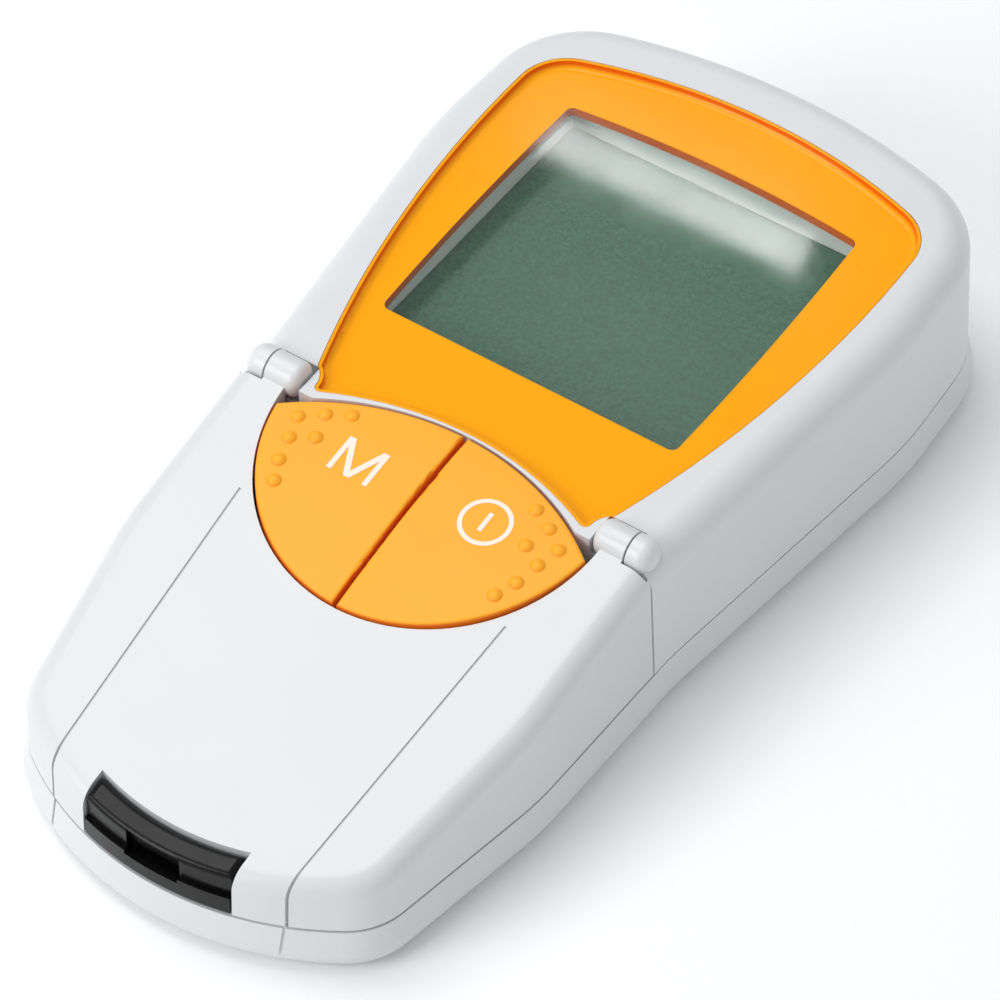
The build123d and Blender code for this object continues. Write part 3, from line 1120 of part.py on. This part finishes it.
def build_nodes():
    """Every node of the meter by name."""
    half = CHIP_SIZE / 2
    memory_x, memory_y = MEMORY_SIZE_X / 2, MEMORY_SIZE_Y / 2
    nodes = {
        "lower_housing": lower_housing(),
        "upper_housing": upper_housing(),
        "display_bezel": display_bezel(),
        "display_lens": display_lens(),
        "lcd_frame": lcd_frame(),
        "lcd_glass": lcd_glass(),
        "lcd_connectors": group(lcd_connectors()),
        "main_board": main_board(),
        "board_screws": group(board_screws()),
        "controller_chip": under_board(-half, half, CHIP_Y - half, CHIP_Y + half, CHIP_HEIGHT),
        "memory_chip": under_board(MEMORY_X - memory_x, MEMORY_X + memory_x,
                                   CHIP_Y - memory_y, CHIP_Y + memory_y, CHIP_HEIGHT),
        "quartz_crystal": quartz_crystal(),
        "buzzer": post(BUZZER_X, BUZZER_Y, BOARD_Z - BUZZER_HEIGHT, BOARD_Z, BUZZER_RADIUS),
        "keypad_mat": keypad_mat(),
        "memory_button": button(-1),
        "power_button": button(1),
        "set_button": set_button(),
        "set_switch": set_switch(),
        "ir_window": ir_window(),
        "ir_module": ir_module(),
        "housing_screws": group(housing_screws()),
        "battery_door": battery_door(),
        "contact_plates": group(contact_plates()),
        "contact_springs": group(spring(i) for i in range(CELL_COUNT)),
        "chamber_deck": chamber_deck(),
        "heater_plate": heater_plate(),
        "optics_window": optics_window(),
        "optics_block": optics_block(),
        "optics_leds": group(optics_leds()),
        "photodiode": photodiode(),
        "sensor_board": sensor_board(),
        "sensor_ribbon": sensor_ribbon(),
        "strip_guide": strip_guide(),
        "flap_cover": flap_cover(),
        "pressure_pad": pressure_pad(),
        "hinge_pins": group(hinge_pins()),
        "flap_switch": flap_switch(),
    }
    for i in range(CELL_COUNT):
        nodes[f"battery_cell_{i + 1}"] = cell(i)
    return nodes


os.makedirs("parts", exist_ok=True)
for name, shape in build_nodes().items():
    export_step(shape, f"parts/{name}.step")
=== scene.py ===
# %% [markdown]
# # A strip-reading blood glucose meter
# The body comes from CAD and is never moved or reshaped here. This file gives each of its
# pieces a surface, adds what is printed on it, and sets up the floor, the light and the camera.
# Lengths are metres, with `MM` for sizes that are easier to read in millimetres.

import json
import math

import bmesh
import bpy
from mathutils import Matrix, Vector
from mathutils.bvhtree import BVHTree


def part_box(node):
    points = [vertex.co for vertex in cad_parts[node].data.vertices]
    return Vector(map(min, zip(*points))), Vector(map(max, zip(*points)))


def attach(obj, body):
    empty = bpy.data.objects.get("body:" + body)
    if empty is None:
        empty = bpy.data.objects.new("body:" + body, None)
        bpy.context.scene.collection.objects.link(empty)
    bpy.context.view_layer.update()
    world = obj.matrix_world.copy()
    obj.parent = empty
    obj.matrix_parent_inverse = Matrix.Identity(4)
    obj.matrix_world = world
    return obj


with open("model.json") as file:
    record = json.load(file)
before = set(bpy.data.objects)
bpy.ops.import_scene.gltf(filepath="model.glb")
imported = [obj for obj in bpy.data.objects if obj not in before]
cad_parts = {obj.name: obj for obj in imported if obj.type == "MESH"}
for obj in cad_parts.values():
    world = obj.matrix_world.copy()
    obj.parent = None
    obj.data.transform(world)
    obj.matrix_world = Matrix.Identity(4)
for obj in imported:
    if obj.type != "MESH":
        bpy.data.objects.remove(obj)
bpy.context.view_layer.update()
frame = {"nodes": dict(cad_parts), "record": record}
MM = 0.001
nodes = frame["nodes"]


# %% [markdown]
# ## Small tools
# A colour is written as the familiar sRGB hex value and turned into the linear numbers that a
# shader expects. `add` makes a shader node, sets its sockets and wires its inputs in one call.

# %% Tools for colours and shader nodes
def linear(hex_colour):
    """Linear RGBA of an sRGB hex colour."""
    channels = [int(hex_colour[i:i + 2], 16) / 255 for i in (1, 3, 5)]
    return [c / 12.92 if c <= 0.04045 else ((c + 0.055) / 1.055) ** 2.4 for c in channels] + [1.0]


def add(tree, kind, **sockets):
    """A shader node. Each name is one of its settings or sockets, and i0, i1 and i2 are sockets by number.
    A value is set on the socket, and another node's output is wired to it."""
    node = tree.nodes.new(kind)
    for name, value in sockets.items():
        if hasattr(node, name):
            setattr(node, name, value)
            continue
        numbered = name[0] == "i" and name[1:].isdigit()
        socket = node.inputs[int(name[1:]) if numbered else name.replace("_", " ")]
        if isinstance(value, bpy.types.NodeSocket):
            tree.links.new(value, socket)
        else:
            socket.default_value = value
    return node


def blank(name):
    """A new material with an empty tree, its object coordinates and its output."""
    material = bpy.data.materials.new(name)
    material.use_nodes = True
    tree = material.node_tree
    tree.nodes.clear()
    place = tree.nodes.new("ShaderNodeTexCoord").outputs["Object"]
    return material, tree, place


def noise(tree, place, size_mm, detail=2.0, stretch=(1.0, 1.0, 1.0)):
    """Noise whose features are about size_mm wide, drawn out along an axis by a small stretch value."""
    per_metre = 1 / (size_mm * MM)
    mapping = add(tree, "ShaderNodeMapping", Vector=place)
    mapping.inputs["Scale"].default_value = [per_metre * s for s in stretch]
    return add(tree, "ShaderNodeTexNoise", Vector=mapping.outputs[0], Scale=1.0, Detail=detail).outputs[0]


def spread(tree, value, low, high, start=0.3, end=0.7):
    """A value from start to end spread between low and high. A noise is busy between 0.3 and 0.7."""
    node = add(tree, "ShaderNodeMapRange", Value=value)
    node.inputs["From Min"].default_value, node.inputs["From Max"].default_value = start, end
    node.inputs["To Min"].default_value, node.inputs["To Max"].default_value = low, high
    return node.outputs[0]


def blend(tree, amount, low, high):
    """A colour between two, each of them a hex colour or a colour socket."""
    node = tree.nodes.new("ShaderNodeMix")
    node.data_type = "RGBA"
    ends = [s for s in node.inputs if s.type == "RGBA"]
    tree.links.new(amount, node.inputs[0])
    for end, colour in zip(ends, (low, high)):
        if isinstance(colour, str):
            end.default_value = linear(colour)
        else:
            tree.links.new(colour, end)
    return next(s for s in node.outputs if s.type == "RGBA")


BANDS_PER_UNIT = 3.2  # a wave texture of scale 1 has about this many bands to a unit


def bands(tree, place, pitch_mm, direction, distortion, detail=2.0):
    """Even bands along one axis, from 0 to 1."""
    return add(tree, "ShaderNodeTexWave", Vector=place, bands_direction=direction, Distortion=distortion,
               Detail=detail, Scale=1 / (pitch_mm * MM * BANDS_PER_UNIT)).outputs["Fac"]


def bump(tree, height, depth_mm, strength=1.0):
    """A normal from a height, where 1 stands for depth_mm."""
    return add(tree, "ShaderNodeBump", Height=height, Distance=depth_mm * MM, Strength=strength).outputs[0]


def finish_material(material, tree, colour, roughness, normal=None, **sockets):
    """The principled shader and the output."""
    shader = add(tree, "ShaderNodeBsdfPrincipled", Base_Color=colour, Roughness=roughness, **sockets)
    if normal is not None:
        tree.links.new(normal, shader.inputs["Normal"])
    add(tree, "ShaderNodeOutputMaterial", Surface=shader.outputs[0])
    return material


# %% [markdown]
# ## Moulded plastic
# Nearly everything on the outside is injection moulded. A steel mould is spark eroded or
# polished, and the plastic copies it: the fine erosion grain is the bump, its slow change in
# polish is the roughness, and the colour drifts by a shade where the melt flowed thicker.
# The orange plastics get a deeper orange on their steep flanks: painted shade for the walls that fall in shadow.

# %% Moulded plastic
FLANK_START, FLANK_FULL = 0.8, 0.3  # how far up a face looks where the painted flank shade begins, and where it is full


def plastic(name, low_hex, high_hex, roughness, grain_mm, grain_depth_mm, flank_shade_hex=None, **sockets):
    """Moulded plastic with erosion grain and a slow drift in polish and shade. A deeper colour is painted on its
    steep flanks as shade.
    """
    material, tree, place = blank(name)
    grain = noise(tree, place, grain_mm, 3.0)
    drift = noise(tree, place, 14.0, 2.0)
    colour = blend(tree, drift, low_hex, high_hex)
    # steep faces get the deeper colour: painted shade on the flanks
    if flank_shade_hex:
        normal = add(tree, "ShaderNodeNewGeometry").outputs["Normal"]
        upright = add(tree, "ShaderNodeSeparateXYZ", Vector=normal).outputs["Z"]
        painted_flank_shade = spread(tree, upright, 0.0, 1.0, FLANK_START, FLANK_FULL)
        colour = blend(tree, painted_flank_shade, colour, flank_shade_hex)
    polish = spread(tree, drift, roughness * 0.9, roughness * 1.12)
    return finish_material(material, tree, colour, polish, bump(tree, grain, grain_depth_mm), IOR=1.53, **sockets)


LOOKS = {
    "housing_white": plastic("housing_white", "#D8DBDD", "#DEE0E1", 0.34, 0.35, 0.004),
    "flap_white": plastic("flap_white", "#D6D8D9", "#DBDDDE", 0.33, 0.35, 0.004),
    "door_white": plastic("door_white", "#D6D9DB", "#DCDEE0", 0.42, 0.3, 0.006),
    "frame_white": plastic("frame_white", "#FAFBFB", "#FDFEFE", 0.5, 0.3, 0.005),
    # the orange plastics carry painted shade on their steep flanks
    "bezel_orange": plastic("bezel_orange", "#FFA600", "#FFAC00", 0.12, 0.6, 0.002, flank_shade_hex="#EE6A08",
                            Specular_IOR_Level=0.2),
    "key_orange": plastic("key_orange", "#FFAB1E", "#FFB026", 0.42, 0.22, 0.008, flank_shade_hex="#F47A14",
                          Specular_IOR_Level=0.3),
    "set_grey": plastic("set_grey", "#56595D", "#5E6165", 0.42, 0.25, 0.008),
    "deck_grey": plastic("deck_grey", "#8C8F93", "#94979B", 0.45, 0.3, 0.006),
    "ir_black": plastic("ir_black", "#12060A", "#1A080D", 0.08, 0.8, 0.001),
}
print("moulded plastics:", sorted(LOOKS))


# %% [markdown]
# The strip guide is glossy black. Fine ribs across its nose give a fingertip some hold when it
# is pulled out for cleaning. They are shallow waves along X, a third of a millimetre apart.

# %% Ribbed black guide
def ribbed_black():
    material, tree, place = blank("guide_black")
    ribs = bands(tree, place, 0.3, "X", 0.6, 1.0)
    grain = noise(tree, place, 0.25, 3.0)
    height = add(tree, "ShaderNodeMath", operation="ADD", i0=ribs, i1=grain).outputs[0]
    drift = noise(tree, place, 5.0)
    colour = blend(tree, drift, "#070708", "#0C0C0E")
    return finish_material(material, tree, colour, spread(tree, drift, 0.2, 0.3), bump(tree, height, 0.005), IOR=1.5,
                           Specular_IOR_Level=0.22)


LOOKS["guide_black"] = ribbed_black()


# %% [markdown]
# ## The display
# The window is a clear acrylic plate. Under it lies the display glass, whose back is a satin
# reflector: that is where the grey-green colour and the fine sparkle come from. The display is
# off, so the glass is plain.

# %% Window and display glass
def clear(name, tint, roughness, ior):
    """A thin clear plate. Light passes straight on, and each face mirrors a little of the room,
    more at a slant."""
    material, tree, place = blank(name)
    marks = noise(tree, place, 9.0, 4.0, (1.0, 0.25, 1.0))
    straight = ((ior - 1) / (ior + 1)) ** 2
    slant = add(tree, "ShaderNodeLayerWeight", Blend=0.5).outputs["Facing"]
    steep = add(tree, "ShaderNodeMath", operation="POWER", i0=slant, i1=5.0).outputs[0]
    mirrored = add(tree, "ShaderNodeMath", operation="MULTIPLY_ADD", i0=steep, i1=1 - straight, i2=straight)
    passed = add(tree, "ShaderNodeBsdfTransparent", Color=linear(tint))
    gloss = add(tree, "ShaderNodeBsdfGlossy", Color=linear("#FFFFFF"),
                Roughness=spread(tree, marks, roughness, roughness + 0.03))
    both = add(tree, "ShaderNodeMixShader", i0=mirrored.outputs[0], i1=passed.outputs[0], i2=gloss.outputs[0])
    add(tree, "ShaderNodeOutputMaterial", Surface=both.outputs[0])
    return material


def display_glass():
    material, tree, place = blank("lcd")
    sparkle = noise(tree, place, 0.4, 2.0)
    colour = blend(tree, spread(tree, sparkle, 0.0, 1.0), "#24553D", "#427358")
    return finish_material(material, tree, colour, spread(tree, sparkle, 0.15, 0.22), bump(tree, sparkle, 0.003),
                           IOR=1.52)


LOOKS["lens_clear"] = clear("lens_clear", "#FBFDFC", 0.03, 1.49)
LOOKS["clear_glass"] = clear("clear_glass", "#F2F8F8", 0.02, 1.52)
LOOKS["diode_clear"] = clear("diode_clear", "#E6ECFA", 0.06, 1.55)
LOOKS["lcd"] = display_glass()
print("display materials made")


# %% [markdown]
# ## Metal
# Stamped sheet and turned pins keep the marks of the tool that made them. Noise drawn out along
# one axis gives those lines, and the plating softens them.

# %% Metals
def metal(name, low_hex, high_hex, roughness, stretch, size_mm=0.25, depth_mm=0.004):
    """Metal with drawn out tool marks."""
    material, tree, place = blank(name)
    marks = noise(tree, place, size_mm, 3.0, stretch)
    colour = blend(tree, marks, low_hex, high_hex)
    polish = spread(tree, marks, roughness * 0.8, roughness * 1.3)
    return finish_material(material, tree, colour, polish, bump(tree, marks, depth_mm), Metallic=1.0)


LOOKS["steel"] = metal("steel", "#9DA0A4", "#B4B7BA", 0.3, (1.0, 1.0, 0.08))
LOOKS["nickel"] = metal("nickel", "#BDBAB2", "#CDCAC3", 0.2, (0.1, 1.0, 1.0))
LOOKS["heater_metal"] = metal("heater_metal", "#B9BBBE", "#CBCDCF", 0.34, (1.0, 0.05, 1.0), 0.2, 0.006)


# %% [markdown]
# ## Inside
# The circuit board is glass cloth under green lacquer: copper tracks show as lighter lanes, so a
# brick pattern of long cells stands in for their runs. The connector strips are silicone with
# black carbon layers across them, the ribbon is amber film over copper lanes, the mat is soft
# translucent silicone and the pad is fine foam.

# %% Board, rubber, film and foam
def board_green():
    material, tree, place = blank("board_green")
    mapping = add(tree, "ShaderNodeMapping", Vector=place)
    mapping.inputs["Scale"].default_value = [1 / MM] * 3
    lanes = add(tree, "ShaderNodeTexBrick", Vector=mapping.outputs[0], Scale=1.0)
    lanes.inputs["Color1"].default_value = linear("#0B5A33")
    lanes.inputs["Color2"].default_value = linear("#0E6A3C")
    lanes.inputs["Mortar"].default_value = linear("#1A8B52")
    lanes.inputs["Mortar Size"].default_value = 0.12
    lanes.inputs["Brick Width"].default_value, lanes.inputs["Row Height"].default_value = 6.0, 0.9
    cloth = noise(tree, place, 0.3, 2.0)
    return finish_material(material, tree, lanes.outputs["Color"], spread(tree, cloth, 0.25, 0.36),
                           bump(tree, lanes.outputs["Fac"], 0.02), IOR=1.5)


def striped(name, first_hex, second_hex, pitch_mm, direction, roughness):
    """Thin layers of two colours."""
    material, tree, place = blank(name)
    layers = bands(tree, place, pitch_mm, direction, 0.2)
    colour = blend(tree, layers, first_hex, second_hex)
    return finish_material(material, tree, colour, roughness, bump(tree, layers, 0.01), IOR=1.45)


def soft(name, low_hex, high_hex, roughness, cell_mm, depth_mm, **sockets):
    """Rubber or foam with a cellular surface."""
    material, tree, place = blank(name)
    cells = add(tree, "ShaderNodeTexVoronoi", Vector=place, Scale=1 / (cell_mm * MM)).outputs["Distance"]
    drift = noise(tree, place, 4.0)
    colour = blend(tree, drift, low_hex, high_hex)
    return finish_material(material, tree, colour, spread(tree, drift, roughness, roughness + 0.08),
                           bump(tree, cells, depth_mm), **sockets)


LOOKS["board_green"] = board_green()
LOOKS["elastomer"] = striped("elastomer", "#D9A8B4", "#2B2426", 0.3, "X", 0.6)
LOOKS["ribbon_amber"] = striped("ribbon_amber", "#C4761E", "#8F4E12", 1.0, "X", 0.3)
LOOKS["silicone"] = soft("silicone", "#8E9095", "#9A9CA1", 0.5, 0.4, 0.01, IOR=1.42, Subsurface_Weight=0.2,
                         Subsurface_Scale=0.002)
LOOKS["pad_grey"] = soft("pad_grey", "#8B8C8E", "#9A9B9D", 0.8, 0.35, 0.12)
LOOKS["chip_black"] = plastic("chip_black", "#141416", "#1B1B1D", 0.5, 0.12, 0.006)


# %% [markdown]
# A dry cell wears a printed film. Here it is a plain dark film with one pale band round the
# positive end and bare metal at both ends, picked by where each lies along the cell.

# %% Cell jacket
def cell_jacket():
    material, tree, place = blank("cell_jacket")
    low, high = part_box("battery_cell_1")
    middle_y, half_length = (low.y + high.y) / 2, (high.y - low.y) / 2
    bare_end, pale_end = 1.6 * MM, 9 * MM
    along = add(tree, "ShaderNodeSeparateXYZ", Vector=place).outputs["Y"]
    offset = add(tree, "ShaderNodeMath", operation="SUBTRACT", i0=along, i1=middle_y).outputs[0]
    distance = add(tree, "ShaderNodeMath", operation="ABSOLUTE", i0=offset).outputs[0]
    bare = add(tree, "ShaderNodeMath", operation="GREATER_THAN", i0=distance, i1=half_length - bare_end).outputs[0]
    band = add(tree, "ShaderNodeMath", operation="GREATER_THAN", i0=distance, i1=half_length - pale_end).outputs[0]
    film = blend(tree, band, "#20262E", "#C9CCD0")
    colour = blend(tree, bare, film, "#C4C1BA")
    crease = noise(tree, place, 1.5, 2.0, (1.0, 0.3, 1.0))
    return finish_material(material, tree, colour, spread(tree, crease, 0.18, 0.3), bump(tree, crease, 0.01),
                           Metallic=bare, IOR=1.5)


LOOKS["cell_jacket"] = cell_jacket()

# %% [markdown]
# Each CAD piece now takes the surface that the record names for it, in every one of its slots.

# %% Give every node its surface
for part in frame["record"]["subparts"]:
    slots, look = nodes[part["node"]].data.materials, LOOKS[part["material_slot"]]
    for i in range(len(slots)):
        slots[i] = look
    if not slots:
        slots.append(look)


# %% [markdown]
# ## What is printed on the keys
# The two keys carry a white M and a white power symbol. Both are pad printed: a soft pad presses
# the ink on, so it follows the domed face. Each is drawn flat, then every point is dropped
# onto the key below it, and it stands only a few hundredths of a millimetre proud.

# %% Printed legends
def ink():
    material, tree, place = blank("legend_ink")
    speckle = noise(tree, place, 0.2, 3.0)
    colour = blend(tree, speckle, "#F6E6D6", "#FBEEE0")
    return finish_material(material, tree, colour, spread(tree, speckle, 0.45, 0.6),
                           bump(tree, speckle, 0.004), IOR=1.5)


INK = ink()
INK_THICKNESS, INK_STEP = 0.03 * MM, 0.004 * MM


def face_of(node):
    """Search tree of a CAD piece's faces."""
    mesh = nodes[node].data
    return BVHTree.FromPolygons([v.co for v in mesh.vertices], [p.vertices for p in mesh.polygons])


def drop(tree, x, y, layer):
    """The point of a piece's upper face at a place given in millimetres, under a layer of ink."""
    hit = tree.ray_cast(Vector((x * MM, y * MM, 0.1)), Vector((0, 0, -1)))[0]
    return hit + Vector((0, 0, INK_THICKNESS + layer * INK_STEP))


def stroke(start, end, width, steps=16):
    """Rows of points along a line whose ends are cut square to Y; width is measured along X."""
    segment = []
    for step in range(steps + 1):
        x = start[0] + (end[0] - start[0]) * step / steps
        y = start[1] + (end[1] - start[1]) * step / steps
        segment.append([(x + width * s, y) for s in (-0.5, -0.17, 0.17, 0.5)])
    return segment


def ring(cx, cy, inner, outer, steps=72):
    """Rows of points round a ring."""
    segment = []
    for step in range(steps + 1):
        angle = 2 * math.pi * step / steps
        radii = [inner + (outer - inner) * k / 3 for k in range(4)]
        segment.append([(cx + r * math.cos(angle), cy + r * math.sin(angle)) for r in radii])
    return segment


def printed(name, node, body, segments):
    """A thin film of ink on one key."""
    tree = face_of(node)
    bm = bmesh.new()
    for layer, segment in enumerate(segments):
        rows = [[bm.verts.new(drop(tree, x, y, layer)) for x, y in row] for row in segment]
        for low, high in zip(rows, rows[1:]):
            for i in range(len(low) - 1):
                bm.faces.new((low[i], low[i + 1], high[i + 1], high[i]))
    bmesh.ops.remove_doubles(bm, verts=bm.verts, dist=1e-7)
    bmesh.ops.recalc_face_normals(bm, faces=bm.faces)
    for face in bm.faces:
        if face.normal.z < 0:
            face.normal_flip()
        face.smooth = True
    mesh = bpy.data.meshes.new(name)
    bm.to_mesh(mesh)
    bm.free()
    piece = bpy.data.objects.new(name, mesh)
    bpy.context.scene.collection.objects.link(piece)
    mesh.materials.append(INK)
    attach(piece, body)
    print(name, len(mesh.polygons), "faces")
    return piece


M_LEFT, M_RIGHT, M_LOW, M_HIGH = -12.6, -6.9, -19.1, -13.4
M_LINE, M_SLANT_LINE = 0.75, 0.95
M_MIDDLE = (M_LEFT + M_RIGHT) / 2
m_strokes = [
    stroke((M_LEFT, M_LOW), (M_LEFT, M_HIGH), M_LINE),
    stroke((M_RIGHT, M_LOW), (M_RIGHT, M_HIGH), M_LINE),
    stroke((M_LEFT + 0.15, M_HIGH), (M_MIDDLE, M_LOW), M_SLANT_LINE),
    stroke((M_RIGHT - 0.15, M_HIGH), (M_MIDDLE, M_LOW), M_SLANT_LINE),
]
printed("memory_legend", "memory_button", "memory_key", m_strokes)
POWER_X, POWER_Y, POWER_RADIUS, POWER_LINE, POWER_BAR = 10.2, -15.65, 3.4, 0.65, 1.6
power = [
    ring(POWER_X, POWER_Y, POWER_RADIUS - POWER_LINE / 2, POWER_RADIUS + POWER_LINE / 2),
    stroke((POWER_X, POWER_Y - POWER_BAR), (POWER_X, POWER_Y + POWER_BAR), POWER_LINE),
]
printed("power_legend", "power_button", "power_key", power)


# %% [markdown]
# ## Floor and light
# The floor is a pale matte sheet, large enough to run out of the picture on every side.

# %% Floor
FLOOR_HALF = 3.0
floor_mesh = bpy.data.meshes.new("floor")
floor_mesh.from_pydata([(-FLOOR_HALF, -FLOOR_HALF, 0), (FLOOR_HALF, -FLOOR_HALF, 0), (FLOOR_HALF, FLOOR_HALF, 0),
                        (-FLOOR_HALF, FLOOR_HALF, 0)], [], [(0, 1, 2, 3)])
floor = bpy.data.objects.new("floor", floor_mesh)
bpy.context.scene.collection.objects.link(floor)
paper, paper_tree, paper_place = blank("floor_paper")
fibre = noise(paper_tree, paper_place, 1.2, 3.0)
floor_mesh.materials.append(finish_material(paper, paper_tree, blend(paper_tree, fibre, "#FDFDFD", "#FFFFFF"), 0.9))
print("floor laid,", 2 * FLOOR_HALF, "m wide")


# %% [markdown]
# The room gives an even fill. A large soft panel hangs overhead, and a second one from the front
# left brightens the flap and the strip end. A narrow lamp hangs behind the meter where the window
# mirrors it towards the camera, which gives the bright band along the window's far edge.
# Colours are shown as they are, without a film curve that would wash out the orange.

# %% Light
def panel(name, place, aim, size, watts):
    """A soft square light that faces a point."""
    data = bpy.data.lights.new(name, "AREA")
    data.shape, data.size, data.energy = "RECTANGLE", size[0], watts
    data.size_y = size[1]
    light = bpy.data.objects.new(name, data)
    light.location = place
    light.rotation_euler = (Vector(place) - Vector(aim)).to_track_quat("Z", "Y").to_euler()
    bpy.context.scene.collection.objects.link(light)


world = bpy.data.worlds.new("room")
world.use_nodes = True
sky = world.node_tree.nodes["Background"].inputs
sky["Color"].default_value, sky["Strength"].default_value = linear("#F7F9FB"), 0.55
bpy.context.scene.world = world
panel("overhead", (-0.3, 0.05, 0.9), (0, 0, 0), (0.6, 0.6), 3.6)
panel("front_left", (-0.4, -0.75, 0.5), (0, 0, 0), (0.45, 0.45), 3.6)
LAMP_X = -0.228
panel("window_strip", (LAMP_X, 0.3855, 0.4655), (LAMP_X, 0.048, 0.027), (0.085, 0.01), 0.02)
bpy.context.scene.view_settings.view_transform = "Standard"

# %% [markdown]
# ## Camera
# The camera looks down on the meter from its strip end, over the right-hand corner, with a long
# lens. Its direction, distance and aim were fitted to the corners of the meter.

# %% Camera
AZIMUTH, ELEVATION = math.radians(34.51), math.radians(48.15)
AIM = Vector((9.5, -11.29, 27.0)) * MM
DISTANCE, LENS = 653.9 * MM, 180.0
back = Vector((math.sin(AZIMUTH) * math.cos(ELEVATION), -math.cos(AZIMUTH) * math.cos(ELEVATION),
               math.sin(ELEVATION)))
right = Vector((math.cos(AZIMUTH), math.sin(AZIMUTH), 0))
camera_data = bpy.data.cameras.new("camera")
camera_data.lens, camera_data.sensor_width, camera_data.clip_start = LENS, 36.0, 0.01
camera = bpy.data.objects.new("camera", camera_data)
axes = Matrix((right, back.cross(right), back)).transposed()
camera.matrix_world = Matrix.Translation(AIM + back * DISTANCE) @ axes.to_4x4()
bpy.context.scene.collection.objects.link(camera)
bpy.context.scene.camera = camera
print("camera", round(DISTANCE / MM), "mm away, lens", LENS, "mm")
